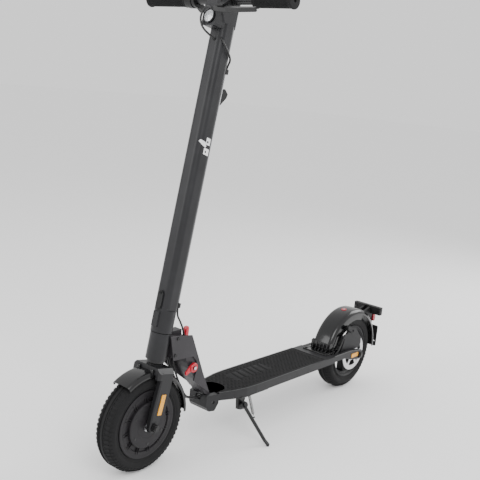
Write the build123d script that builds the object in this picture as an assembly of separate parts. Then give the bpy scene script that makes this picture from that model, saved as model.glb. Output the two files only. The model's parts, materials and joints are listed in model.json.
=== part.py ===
"""Electric kick scooter with a folding neck, hub motor and stem battery.

Axes: +X forward, +Y to the rider's left, +Z up, millimetres.  Lengths along X are measured from the
rear axle while the pieces are made; save() then moves each one so that the origin is on the ground,
at the middle of the overall length.
"""
import os
from math import asin, atan2, cos, degrees, pi, radians, sin, sqrt, tan

from build123d import *

# ---- driving dimensions -------------------------------------------------------------------------
wheelbase = 921.0
tyre_radius = 127.0
tyre_width = 57.0
tyre_crown = 20.0            # flat band around the middle of the tread
tyre_wall = 6.0
rim_radius = 89.0
rim_width = 46.0
rim_seat_radius = 80.0

rake = 10.0                  # steering axis, leaning back from vertical
axis_offset = 9.6            # wheel centre ahead of the steering axis at axle height
bar_reach = 37.0             # handlebar ahead of the steering axis
bar_height = 1044.0          # handlebar above the axle, along the steering axis
bar_width = 464.0
bar_radius = 11.0
grip_radius = 17.5
grip_left_start = 120.0
grip_right_start = 96.0

deck_top = 152.0
deck_bottom = 131.0
deck_width = 137.0
deck_rear = 152.0
deck_front = 676.0
deck_front_width = 84.0
deck_taper_start = 545.0
deck_taper_mid = 608.0
deck_taper_mid_width = 124.0
deck_wall = 4.0
deck_skin = 3.0
mat_thickness = 2.0
mat_start = 205.0
cover_thickness = 3.0
cover_inset = 2.5

fold_x = 693.0               # fold pin
fold_z = 129.0
fold_pin_radius = 5.0
knuckle_radius = 13.0
knuckle_outer = 23.5
knuckle_inner = 9.5
nose_front = 714.0           # front wall of the hinge block
nose_bottom = 104.0

neck_plate_inner = 27.0
neck_plate_thickness = 4.0
head_radius = 26.5
head_start = 160.0           # places along the steering axis, above the axle
head_end = 228.0
collar_end = 286.0
collar_radius = 27.5
joint_line = 917.0
head_top = 1070.0
steerer_radius = 15.0
headset_radius = 22.0
stem_depth = 50.0
stem_width = 46.0
stem_corner = 15.0
stem_wall = 3.0

leg_inner = 36.0
leg_thickness = 14.0
crown_half_depth = 26.0
crown_top = 146.0
wheel_gap = 4.0              # tyre to fork crown
axle_radius = 6.0

fender_front_radius = 137.0
fender_rear_radius = 146.0
fender_half_width = 36.0
front_fender_half_width = 31.0
fender_wall = 2.5
skirt_radius = 112.0
flange_outer = 46.0          # edge of the rear fender's foot
foot_front = 144.0           # front wall of the rear fender
foot_flange_front = 174.0
latch_bar_x = -133.0
latch_bar_z = 251.0
latch_bar_width = 107.0
latch_bar_height = 26.0
latch_bar_depth = 18.0
plate_back = 170.0           # rear face of the plate holder, behind the rear axle
plate_low = 112.0
plate_high = 186.0
plate_width = 56.0

arm_inner = 54.0
arm_thickness = 12.0
rear_hub_half = 32.0
disc_radius = 60.0
disc_y = 38.0
disc_thickness = 2.0
disc_band_radius = 45.0      # inner edge of the friction ring
disc_arms = 6
disc_arm_half = 5.0

stand_x = 588.0              # kickstand pivot
stand_y = 60.0
stand_z = 101.0
stand_tilt = 31.0            # pivot axis, leaning up from the sideways direction
stand_leg_radius = 5.0
stand_foot = (563.0, 142.0)

running = 0.05               # radial clearance of a part that turns on a pin
free_gap = 0.5               # between parts that pass each other
bolt_radius = 2.5
bolt_head_radius = 4.5
bolt_head_height = 2.6

harness_diameter = 7.0
housing_diameter = 5.0
wire_diameter = 2.4
cable_clearance = 0.6        # around a cable in a hole or clip

# ---- places worked out from them ----------------------------------------------------------------
rear_axle_x = (plate_back - wheelbase - tyre_radius) / 2
rear_centre = (0.0, tyre_radius)
front_centre = (wheelbase, tyre_radius)
axis_x = wheelbase - axis_offset
steer = Plane(
    origin=(axis_x, 0, tyre_radius),
    x_dir=(cos(radians(rake)), 0, sin(radians(rake))),
    z_dir=(-sin(radians(rake)), 0, cos(radians(rake))),
)
wheel_a = axis_offset * cos(radians(rake))     # front axle in the steering frame
wheel_t = -axis_offset * sin(radians(rake))
half_deck = deck_width / 2
tyre_half = tyre_width / 2
leg_outer = leg_inner + leg_thickness
arm_outer = arm_inner + arm_thickness
bar_half = bar_width / 2
plate_outer = neck_plate_inner + neck_plate_thickness


# ---- helpers ------------------------------------------------------------------------------------
def block(x, y, z):
    """Box between pairs of x, y and z limits."""
    centre = Pos(sum(x) / 2, sum(y) / 2, sum(z) / 2)
    return centre * Box(x[1] - x[0], y[1] - y[0], z[1] - z[0])


def side_plate(outline, low, high):
    """Outline in X and Z, from y = low to y = high."""
    face = make_face(Polyline(*[(x, low, z) for x, z in outline], close=True))
    return extrude(face, high - low, dir=(0, 1, 0))


def plan_plate(outline, low, high):
    """Outline in X and Y, from z = low to z = high."""
    face = make_face(Polyline(*[(x, y, low) for x, y in outline], close=True))
    return extrude(face, high - low, dir=(0, 0, 1))


def lathe(profile, centre, start=0.0, arc=360.0):
    """Profile of (radius, y) points, turned about a wheel axle at centre = (x, z).

    start is the angle above +X at which the turn begins, and it goes up and over to the rear.
    """
    x, z = centre
    angle = radians(start)
    face = make_face(Polyline(*[(x + r * cos(angle), y, z + r * sin(angle)) for r, y in profile],
                              close=True))
    return revolve(face, Axis((x, 0, z), (0, -1, 0)), arc)


def rod(start, end, radius):
    """Round bar between two points."""
    run = Vector(*end) - Vector(*start)
    plane = Plane(origin=start, z_dir=run)
    return plane.location * Pos(0, 0, run.length / 2) * Cylinder(radius, run.length)


def cross_rod(centre, y, radius):
    """Round bar along Y at centre = (x, z), between two y limits."""
    return rod((centre[0], y[0], centre[1]), (centre[0], y[1], centre[1]), radius)


def on_stem(shape):
    """Place a shape made in the steering frame: x forward, y left, z up the stem."""
    return steer.location * shape


def stem_point(a, y, t):
    """World point of a place in the steering frame."""
    point = steer.from_local_coords(Vector(a, y, t))
    return (point.X, point.Y, point.Z)


def mirrored(shape):
    """The shape and its mirror image on the other side of the scooter."""
    return [shape, mirror(shape, Plane.XZ)]


def cord(points, diameter):
    """Tube along straight runs joined by tangent arcs as large as the runs allow."""
    places = [Vector(*point) for point in points]
    radii = []
    for before, here, after in zip(places, places[1:], places[2:]):
        turn = radians((here - before).get_angle(after - here))
        shorter = min((here - before).length, (after - here).length)
        radii.append(0.45 * shorter / tan(turn / 2))
    print("cord radii", [round(radius, 1) for radius in radii])
    route = FilletPolyline(*points, radius=radii)
    start = Plane(origin=route @ 0, z_dir=route % 0)
    return sweep(start * Circle(diameter / 2), path=route)


def bolt_y(x, y, z, side):
    """Button-head screw whose head stands on the plane y, facing side = +1 or -1."""
    head = cross_rod((x, z), sorted((y, y + side * bolt_head_height)), bolt_head_radius)
    socket = cross_rod((x, z), sorted((y + side * 1.0, y + side * 4.0)), 1.5)
    return head - socket


def solids(shape):
    """Every solid of a shape or a list of shapes."""
    parts = shape if isinstance(shape, (list, tuple)) else [shape]
    return [solid for part in parts for solid in part.solids()]


def save(name, shape):
    """Move a finished piece to the frame's origin and write it."""
    pieces = [Pos(rear_axle_x, 0, 0) * solid for solid in solids(shape)]
    whole = pieces[0] if len(pieces) == 1 else Compound(children=pieces)
    export_step(whole, f"parts/{name}.step")


# ---- wheels -------------------------------------------------------------------------------------
tyre_profile = [
    (rim_seat_radius, -21.9), (rim_radius + 0.5, -22.0), (rim_radius + 4, -23.5),
    (102.0, -tyre_half), (114.0, -27.0),
    (123.0, -19.5), (tyre_radius, -tyre_crown / 2), (tyre_radius, tyre_crown / 2), (123.0, 19.5),
    (114.0, 27.0), (102.0, tyre_half), (rim_radius + 4, 23.5), (rim_radius + 0.5, 22.0),
    (rim_seat_radius, 21.9), (rim_seat_radius, 22.0 - tyre_wall), (rim_radius + 6, 17.5), (103.0, 22.5), (112.0, 21.5),
    (118.0, 13.0), (119.5, 0.0), (118.0, -13.0), (112.0, -21.5), (103.0, -22.5),
    (rim_radius + 6, -17.5), (rim_seat_radius, tyre_wall - 22.0),
]
bearing_radius = 16.0
bearing_width = 9.0


def bearing_ring(centre, y, bore):
    """Ball bearing as one ring with shallow grooves where the shields sit."""
    ring = cross_rod(centre, y, bearing_radius) - cross_rod(centre, (y[0] - 1, y[1] + 1), bore)
    groove = cross_rod(centre, (y[1] - 0.6, y[1] + 1), bearing_radius - 3)
    groove -= cross_rod(centre, (y[1] - 1, y[1] + 2), bore + 3)
    return ring - groove


hub_radius = 24.0
spoke_count = 5
spoke_half_width = 11.0
spoke_half_depth = 8.0


def make_rear_wheel():
    """Cast five-spoke rim, tyre, brake disc and bearings."""
    rim = lathe([(rim_seat_radius - 6, -14.0), (rim_radius - 3, -25.5), (rim_radius, -25.0),
                 (rim_radius, -22.2), (rim_seat_radius, -22.0), (rim_seat_radius, 22.0),
                 (rim_radius, 22.2), (rim_radius, 25.0), (rim_radius - 3, 25.5),
                 (rim_seat_radius - 6, 14.0)], rear_centre)
    hub = cross_rod(rear_centre, (-rear_hub_half, rear_hub_half), hub_radius)
    spokes = []
    for index in range(spoke_count):
        spoke = block((hub_radius - 3, rim_seat_radius), (-spoke_half_width, spoke_half_width),
                      (-spoke_half_depth, spoke_half_depth))
        spokes.append(Pos(0, 0, tyre_radius) * Rot(0, index * 360 / spoke_count + 18, 0) * spoke - hub - rim)
    for side in (-1, 1):
        seat = sorted((side * (rear_hub_half - bearing_width), side * (rear_hub_half + 1)))
        hub -= cross_rod(rear_centre, seat, bearing_radius)
    hub -= cross_rod(rear_centre, (-rear_hub_half, rear_hub_half), axle_radius + 4)
    save("rear_rim", [rim, hub, *spokes])
    save("rear_tyre", lathe(tyre_profile, rear_centre))
    seats = [(rear_hub_half - bearing_width, rear_hub_half), (-rear_hub_half, bearing_width - rear_hub_half)]
    save("rear_bearings", [bearing_ring(rear_centre, seat, axle_radius + running) for seat in seats])
    carrier = cross_rod(rear_centre, (rear_hub_half, disc_y), 27) - cross_rod(
        rear_centre, (rear_hub_half - 1, disc_y + 1), bearing_radius + 1)
    plane = (disc_y, disc_y + disc_thickness)
    disc = cross_rod(rear_centre, plane, disc_radius) - cross_rod(
        rear_centre, (disc_y - 1, disc_y + 4), disc_band_radius)
    for index in range(disc_arms):
        arm = block((bearing_radius + 2, disc_band_radius + 1), plane, (-disc_arm_half, disc_arm_half))
        disc += Pos(0, 0, tyre_radius) * Rot(0, index * 360 / disc_arms, 0) * arm
    disc += cross_rod(rear_centre, plane, 27) - cross_rod(rear_centre, (disc_y - 1, disc_y + 4), bearing_radius + 1)
    save("brake_disc", disc + carrier)


motor_inner_radius = 72.0
motor_half = 24.0
cover_disc_radius = 60.0
cover_recess = 22.0          # floor of the ring-shaped recess, from the wheel's middle
cover_outer = 32.0


def make_front_wheel():
    """Hub motor shell with its rim, two covers, tyre and bearings."""
    shell = lathe([(motor_inner_radius, -motor_half), (rim_radius - 3, -25.5), (rim_radius, -25.0),
                   (rim_radius, -22.2), (rim_seat_radius, -22.0), (rim_seat_radius, 22.0),
                   (rim_radius, 22.2), (rim_radius, 25.0), (rim_radius - 3, 25.5),
                   (motor_inner_radius, motor_half)], front_centre)
    save("motor_shell", shell)
    save("front_tyre", lathe(tyre_profile, front_centre))
    seat_low = cover_outer - bearing_width
    cover = lathe([(axle_radius + 5, motor_half - 5), (motor_inner_radius, motor_half - 5),
                   (motor_inner_radius, motor_half), (rim_seat_radius - 1, motor_half + 0.5),
                   (rim_seat_radius - 1, motor_half + 1), (motor_inner_radius, motor_half + 1),
                   (motor_inner_radius - 1.5, cover_recess), (cover_disc_radius + 1, cover_recess),
                   (cover_disc_radius, cover_outer - 3), (cover_disc_radius - 3, cover_outer - 1), (20, cover_outer),
                   (axle_radius + 5, cover_outer)], front_centre)
    cover -= cross_rod(front_centre, (seat_low, cover_outer + 1), bearing_radius)
    cover -= shell
    save("motor_covers", mirrored(cover))
    seats = [(seat_low, cover_outer), (-cover_outer, -seat_low)]
    save("front_bearings", [bearing_ring(front_centre, seat, axle_radius + running) for seat in seats])


def make_motor_core():
    """Fixed motor axle with its nuts, and the wound stator on it."""
    axle = cross_rod(front_centre, (-leg_outer - 12, leg_outer + 12), axle_radius)
    nut_width = 8.0
    parts = [axle]
    for side in (-1, 1):
        limits = sorted((side * (leg_outer + 2), side * (leg_outer + 2 + nut_width)))
        nut = Pos(wheelbase, sum(limits) / 2, tyre_radius) * Rot(90, 0, 0) * extrude(
            RegularPolygon(10, 6), nut_width / 2, both=True)
        washer = cross_rod(front_centre, sorted((side * leg_outer, side * (leg_outer + 2))), 12)
        spacer = cross_rod(front_centre, sorted((side * (cover_outer + free_gap), side * leg_inner)), 9)
        parts += [nut, washer, spacer]
    whole = parts[0]
    for piece in parts[1:]:
        whole += piece
    save("motor_axle", whole)
    stator_half = 15.0
    tooth_count = 18
    stator = cross_rod(front_centre, (-stator_half, stator_half), 46)
    tooth = block((40, 67), (-stator_half, stator_half), (-4, 4))
    for index in range(tooth_count):
        stator += Pos(wheelbase, 0, tyre_radius) * Rot(0, index * 360 / tooth_count, 0) * tooth
    stator -= cross_rod(front_centre, (-stator_half - 1, stator_half + 1), axle_radius)
    save("motor_stator", stator)


# ---- fork, fenders ------------------------------------------------------------------------------
def make_fork():
    """Steerer tube, crown and two legs that end in narrow dropouts."""
    leg = make_face(Polyline((-26, leg_inner, 138), (14, leg_inner, 138), (22, leg_inner, 40),
                             (23, leg_inner, 18), (23, leg_inner, -6), (17, leg_inner, -15),
                             (2, leg_inner, -15), (-4, leg_inner, -6), (-8, leg_inner, 14),
                             (-22, leg_inner, 44), close=True))
    leg = extrude(leg, leg_thickness, dir=(0, 1, 0))
    long_edges = leg.edges().filter_by_position(Axis.Y, leg_outer - 0.1, leg_outer + 0.1)
    leg = chamfer(long_edges, 3)
    crown = block((-crown_half_depth, crown_half_depth), (-leg_outer, leg_outer), (118, crown_top))
    corners = crown.edges().filter_by(Axis.X).sort_by(Axis.Z)[-2:]
    crown = chamfer(corners, 12)
    crown = fillet(crown.edges().filter_by(Axis.Z), 8)
    boss = Pos(0, 0, crown_top + 1.5) * Cylinder(20, 3)
    tube_top = collar_end - 2
    tube = Pos(0, 0, (crown_top + tube_top) / 2) * Cylinder(steerer_radius, tube_top - crown_top)
    fork = leg + mirror(leg, Plane.XZ) + crown + boss + tube
    fork -= Pos(0, 0, (crown_top + tube_top) / 2 + 4) * Cylinder(steerer_radius - 3, tube_top - crown_top)
    fork = on_stem(fork)
    fork -= cross_rod(front_centre, (-leg_inner + 0.01, leg_inner - 0.01), tyre_radius + wheel_gap)
    fork -= cross_rod(front_centre, (-leg_outer - 1, leg_outer + 1), axle_radius)
    save("fork", fork)


def fender_profile(outer, skirt):
    """Channel section of a fender, as (radius, y) points."""
    half = fender_half_width if outer == fender_rear_radius else front_fender_half_width
    inner = outer - fender_wall
    return [(skirt, half), (outer - 9, half), (outer, half - 10), (outer, 10 - half),
            (outer - 9, -half), (skirt, -half), (skirt, fender_wall - half),
            (outer - 10, fender_wall - half), (inner, 11 - half), (inner, half - 11),
            (outer - 10, half - fender_wall), (skirt, half - fender_wall)]


def make_front_fender():
    """Two arched pieces, ahead of the crown and behind it."""
    profile = fender_profile(fender_front_radius, fender_front_radius - 13)
    front = lathe(profile, front_centre, 57, 36)
    rear = lathe(profile, front_centre, 93, 86)
    crown_space = on_stem(block((-crown_half_depth - 0.1, crown_half_depth + 0.1), (-60, 60), (60, 170)))
    arch = (front + rear) - crown_space
    for side in (-1, 1):
        lug_y = sorted((side * (leg_inner - 17), side * (leg_inner - 7)))
        arch += on_stem(block((crown_half_depth + 0.1, crown_half_depth + 5), lug_y, (128, 140)))
        arch += on_stem(block((-crown_half_depth - 5, -crown_half_depth - 0.1), lug_y, (122, 138)))
    save("front_fender", arch)


def make_rear_fender():
    """Rear wheel cover with deep front skirts, a foot on the deck and a flap behind the tyre."""
    deep = lathe(fender_profile(fender_rear_radius, skirt_radius), rear_centre, 20, 88)
    shallow = lathe(fender_profile(fender_rear_radius, 130), rear_centre, 108, 74)
    skirt = [(foot_front, deck_top), (foot_front, 181), (135, 184), (103, 166), (98, deck_top)]
    fender = deep + shallow
    for side in (-1, 1):
        limits = sorted((side * (fender_half_width - fender_wall), side * fender_half_width))
        fender += side_plate(skirt, *limits)
        flange = sorted((side * (fender_half_width - fender_wall), side * flange_outer))
        fender += block((98, foot_flange_front), flange, (deck_top, deck_top + 3))
    fender += block((foot_front, foot_flange_front), (-fender_half_width, fender_half_width),
                    (deck_top, deck_top + 3))
    fender += block((foot_front - fender_wall, foot_front), (-fender_half_width, fender_half_width),
                    (deck_top, 181))
    fender -= cross_rod(rear_centre, (-31, 31), tyre_radius + wheel_gap + 2)
    save("rear_fender", fender)


hook_half = 5.0
hook_gap = 2.0               # beside the folded stem's hook in its slot
hook_slot_length = 45.0
hook_notch = 3.0             # depth of the slot in the bar's front face
hook_slot_floor = 244.0


def make_latch_bar():
    """T-shaped bar on the fender that the folded stem hooks on."""
    x = (latch_bar_x - latch_bar_depth / 2, latch_bar_x + latch_bar_depth / 2)
    z = (latch_bar_z - latch_bar_height / 2, latch_bar_z + latch_bar_height / 2)
    half = latch_bar_width / 2
    bar = block(x, (-half, half), z)
    bar = fillet(bar.edges().filter_by(Axis.Z), 4)
    web = side_plate([(x[1] - 4, z[1] - 2), (-70, 246), (-92, 222), (-118, 208), (x[0] + 2, 224),
                      (x[0] + 2, z[0] + 4)], -15, 15)
    web -= cross_rod(rear_centre, (-40, 40), fender_rear_radius)
    bar += web
    slot_half = hook_half + hook_gap
    slot_x = (x[1] - hook_notch, x[1] + hook_slot_length)
    bar -= block(slot_x, (-slot_half, slot_half), (hook_slot_floor, z[1] + 1))
    for side in (-1, 1):
        bar -= rod((x[1] - 10, side * 44, latch_bar_z), (x[1] + 1, side * 44, latch_bar_z), bolt_radius)
    save("fender_latch_bar", bar)


def make_plate_holder():
    """Number-plate panel behind the tyre, hung from the latch bar, with the tail light above it."""
    panel = block((-plate_back, 3 - plate_back), (-plate_width / 2, plate_width / 2), (plate_low, plate_high))
    panel = fillet(panel.edges().filter_by(Axis.X), 4)
    for side in (-1, 1):
        panel -= rod((-plate_back - 1, side * 20, 130), (4 - plate_back, side * 20, 130), bolt_radius)
    low = latch_bar_z - latch_bar_height / 2
    stay = block((3 - plate_back, -148.9), (-11, 11), (150, 158))
    web_rear = latch_bar_x - latch_bar_depth / 2 + 2
    bend = (-152, 205)
    top = (web_rear - 6, low)
    stay += side_plate([(bend[0], 150), bend, top, (web_rear, low), (web_rear, 224), (-147, 205), (-147, 150)],
                       -11, 11)
    stay -= cross_rod(rear_centre, (-40, 40), fender_rear_radius)
    save("plate_holder", panel + stay)
    lamp_top = low - 6.5
    back = bend[0] + (top[0] - bend[0]) * (lamp_top - bend[1]) / (low - bend[1])
    lamp = side_plate([bend, (back, lamp_top), (back - 12, lamp_top), (-164, 216), (-161, 205)], -16, 16)
    save("tail_light", lamp)


def make_frame_screws():
    """Screws of the rear fender, the latch bar and the underside cover."""
    screws = []
    for side in (-1, 1):
        x = latch_bar_x + latch_bar_depth / 2
        shank = rod((x - 10, side * 44, latch_bar_z), (x, side * 44, latch_bar_z), bolt_radius)
        head = rod((x, side * 44, latch_bar_z), (x + bolt_head_height, side * 44, latch_bar_z), bolt_head_radius)
        screws.append(shank + head)
        for place in (126, 164):
            foot = deck_top + 3
            head_top_point = (place, side * (flange_outer - 5), foot + bolt_head_height)
            screws.append(rod((place, side * (flange_outer - 5), foot), head_top_point, bolt_head_radius))
        for place in (180, 325, 470):
            low = deck_bottom - cover_thickness
            y = side * (half_deck - 12)
            screws.append(rod((place, y, low - 2), (place, y, low), bolt_head_radius))
    save("frame_screws", screws)


# ---- deck ---------------------------------------------------------------------------------------
def deck_outline(inset, rear, front):
    """Half-symmetric plan of the deck, narrowing to the hinge block, moved in by inset."""
    near = [(rear, half_deck - inset), (deck_taper_start, half_deck - inset),
            (deck_taper_mid - 22, deck_taper_mid_width / 2 + 3.5 - inset),
            (deck_taper_mid + 18, deck_taper_mid_width / 2 - 4.5 - inset),
            (front, deck_front_width / 2 - inset)]
    far = [(x, -y) for x, y in reversed(near)]
    return near + far


pocket_back = 628.0
pocket_half = 33.0


def pocket(low, high):
    """Space that the folded neck dips into, with a rounded rear end."""
    centre_x = 656.0
    space = Pos(centre_x, 0, (low + high) / 2) * scale(Cylinder(1, high - low),
                                                       (centre_x - pocket_back, pocket_half, 1))
    space += block((centre_x, nose_front), (-pocket_half, pocket_half), (low, high))
    return space


def make_deck():
    """Deck tray, its cover and rubber mat."""
    deck = plan_plate(deck_outline(0, deck_rear, deck_front), deck_bottom, deck_top)
    rim = plan_plate(deck_outline(0, mat_start - 1, deck_front), deck_top, deck_top + 1.5)
    rim -= plan_plate(deck_outline(5, mat_start, deck_front + 1), deck_top - 1, deck_top + 3)
    deck += rim
    hollow = plan_plate(deck_outline(deck_wall, deck_rear + deck_wall, pocket_back - 34), deck_bottom - 1,
                        deck_top - deck_skin)
    deck -= hollow
    deck -= pocket(deck_bottom - 1, deck_top + 5)
    wire_slot = block((pocket_back - 40, pocket_back + 12), (-knuckle_inner, knuckle_inner), (132, 146))
    deck -= wire_slot
    deck -= cross_slot_rear()
    save("deck_shell", deck)
    cover = plan_plate(deck_outline(cover_inset, deck_rear, deck_front - 12), deck_bottom - cover_thickness, deck_bottom)
    save("deck_bottom_cover", cover)
    mat = plan_plate(deck_outline(5.3, mat_start + 0.3, deck_front), deck_top, deck_top + mat_thickness)
    mat -= pocket(deck_top - 1, deck_top + 5)
    save("deck_mat", solids(mat))


def cross_slot_rear():
    """Hole where the brake housing leaves the deck's rear wall."""
    return rod((deck_rear - 2, 49, 138.6), (deck_rear + deck_wall + 2, 49, 138.2), housing_diameter / 2 + 1.6)


def make_hinge_block():
    """Casting on the deck's front end: two ears, a floor and a front wall around the neck's foot."""
    front_half = 32.0
    outline = [(deck_front, deck_front_width / 2), (nose_front, front_half), (nose_front, -front_half),
               (deck_front, -deck_front_width / 2)]
    body = plan_plate(outline, nose_bottom, deck_top - 1.5)
    inner = knuckle_outer + free_gap
    body -= block((deck_front - 1, nose_front - 5), (-inner, inner), (nose_bottom + 5, deck_top + 5))
    body -= block((nose_front - 8, nose_front + 1), (-knuckle_inner, knuckle_inner), (132, 147))
    under = side_plate([(deck_front - 1, nose_bottom - 1), (fold_x - 6, nose_bottom - 1),
                        (deck_front - 1, deck_bottom - 4)], -60, 60)
    nose = side_plate([(nose_front + 1, nose_bottom - 1), (nose_front + 1, nose_bottom + 14),
                       (fold_x + 10, nose_bottom - 1)], -60, 60)
    body -= under
    body -= nose
    body -= cross_rod((fold_x, fold_z), (-60, 60), fold_pin_radius)
    save("front_hinge_block", body)
    pin = cross_rod((fold_x, fold_z), (-36, 36), fold_pin_radius)
    save("hinge_pin", pin)


def make_rear_arms():
    """Side arms from the deck to the rear axle."""
    arm = side_plate([(deck_rear, deck_bottom), (deck_rear, deck_top), (60, deck_top), (22, 147),
                      (-12, 142), (-22, 130), (-17, 117), (0, 112), (40, 117), (90, deck_bottom)],
                     arm_inner, arm_outer)
    arm = chamfer(arm.edges().filter_by_position(Axis.Y, arm_outer - 0.1, arm_outer + 0.1), 1.5)
    arm -= cross_rod(rear_centre, (arm_inner - 1, arm_outer + 1), axle_radius)
    save("rear_arms", mirrored(arm))
    save("rear_reflectors", mirrored(block((12, 50.5), (arm_outer, arm_outer + 1.6), (126, 139))))


def make_rear_axle():
    """Through bolt with spacers and end nuts."""
    axle = cross_rod(rear_centre, (-arm_outer - 9, arm_outer + 9), axle_radius)
    for side in (-1, 1):
        inner = sorted((side * (rear_hub_half + free_gap), side * arm_inner))
        axle += cross_rod(rear_centre, inner, 9)
        limits = sorted((side * arm_outer, side * (arm_outer + 7)))
        axle += Pos(0, sum(limits) / 2, tyre_radius) * Rot(90, 0, 0) * extrude(
            RegularPolygon(10, 6), 3.5, both=True)
    save("rear_axle", axle)


caliper_angle = 66.0
caliper_arm_pivot = (38.0, 214.0)
housing_stop = 196.0         # underside of the lug that the brake housing pushes on


def make_caliper():
    """Mechanical disc caliper on a bracket from the left arm, and its pull arm."""
    angle = radians(caliper_angle)
    centre = (62 * cos(angle), tyre_radius + 62 * sin(angle))
    body = Pos(centre[0], 41, centre[1]) * Rot(0, 90 - caliper_angle, 0) * Box(56, 17, 32)
    body -= cross_rod(rear_centre, (disc_y - 1.5, disc_y + disc_thickness + 1.5), disc_radius + 1.5)
    body += cross_rod(caliper_arm_pivot, (43, 49.5), 11)
    mount = side_plate([(-6, 196), (10, 214), (28, 222), (48, 224), (64, 208), (94, 203), (94, 197),
                        (78, 196.5), (80, 182), (96, 140), (82, 132), (66, 140), (40, 146), (20, 142),
                        (8, 146), (-14, 144), (-26, 158), (-24, 180)], 45.5, 49.5)
    mount += block((82, 94), (45.5, arm_inner), (housing_stop, housing_stop + 6))
    foot = block((66, 92), (45.5, arm_inner), (134, 148))
    pivot = cross_rod(caliper_arm_pivot, (49, 57), 4)
    save("brake_caliper", body + mount + foot + pivot)
    arm = cross_rod(caliper_arm_pivot, (50, 55), 9)
    arm += side_plate([(34, 220), (44, 206), (72, 224), (74, 232), (66, 236)], 50, 55)
    arm -= cross_rod(caliper_arm_pivot, (49, 56), 4 + running)
    save("caliper_arm", arm)


def make_controller():
    """Motor controller box inside the deck."""
    box = block((300, 440), (-38, 38), (deck_bottom, deck_top - deck_skin - 2))
    save("controller", fillet(box.edges().filter_by(Axis.Z), 4))


# ---- kickstand ----------------------------------------------------------------------------------
tilt = radians(stand_tilt)
stand_axis = (0.0, cos(tilt), sin(tilt))
stand_pivot = (stand_x, stand_y, stand_z)


def along_axis(distance):
    """Point on the kickstand's pivot axis, outward from the pivot."""
    return tuple(p + distance * d for p, d in zip(stand_pivot, stand_axis))


def make_kickstand():
    """Bracket with its tilted pivot bolt, the leg, and the return spring."""
    low = deck_bottom - cover_thickness
    plate = block((484, 604), (22, 62), (low - 4, low))
    cheek = side_plate([(570, low - 4), (602, low - 4), (598, stand_z - 14), (578, stand_z - 14)], 40, 50)
    boss = rod(along_axis(-16), along_axis(-4.5), 10)
    pivot = rod(along_axis(-6), along_axis(10), 4)
    cap = rod(along_axis(7), along_axis(10), 7)
    post = rod((560, 46, low - 3), (560, 46, low - 12), 3)
    save("kickstand_bracket", plate + cheek + boss + pivot + cap + post)
    eye = rod(along_axis(-4), along_axis(5.5), 10)
    knee = (565.0, 127.0, 14.0)
    foot = (stand_foot[0], stand_foot[1] - 3, stand_leg_radius)
    leg = eye + rod(along_axis(0.8), knee, stand_leg_radius) + Pos(*knee) * Sphere(stand_leg_radius)
    leg += rod(knee, foot, stand_leg_radius) + Pos(*foot) * Sphere(stand_leg_radius)
    leg += rod((foot[0], foot[1], 0), (foot[0], foot[1], stand_leg_radius), 4)
    leg -= rod(along_axis(-7), along_axis(7), 4 + running)
    lug = tuple(0.62 * p + 0.38 * k for p, k in zip(along_axis(0.5), knee))
    leg += rod(lug, (lug[0] - 12, lug[1], lug[2]), 2.5)
    save("kickstand_leg", leg)
    spring = rod((551, 46, low - 9), (lug[0] - 14, lug[1] - 4, lug[2] + 3), 4)
    save("kickstand_spring", spring)


# ---- neck and head tube -------------------------------------------------------------------------
brake_loop = [(836, 5, 298), (828, 5, 268), (816, 5, 236), (799, 5, 203), (783, 5, 175), (768, 5, 155.5),
              (748, 5, 143.5), (722, 5, 139.6), (692, 5, 138.9), (652, 5, 138.6), (612, 5, 138.6)]
harness_loop = [(844, -4, 298), (834, -4, 268), (822, -4, 238), (802, -4, 205), (785, -4, 176),
                (770, -4, 156), (750, -4, 143.8), (724, -4, 139.9), (690, -4, 139.4), (650, -4, 138.4),
                (608, -4, 138.8)]


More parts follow.
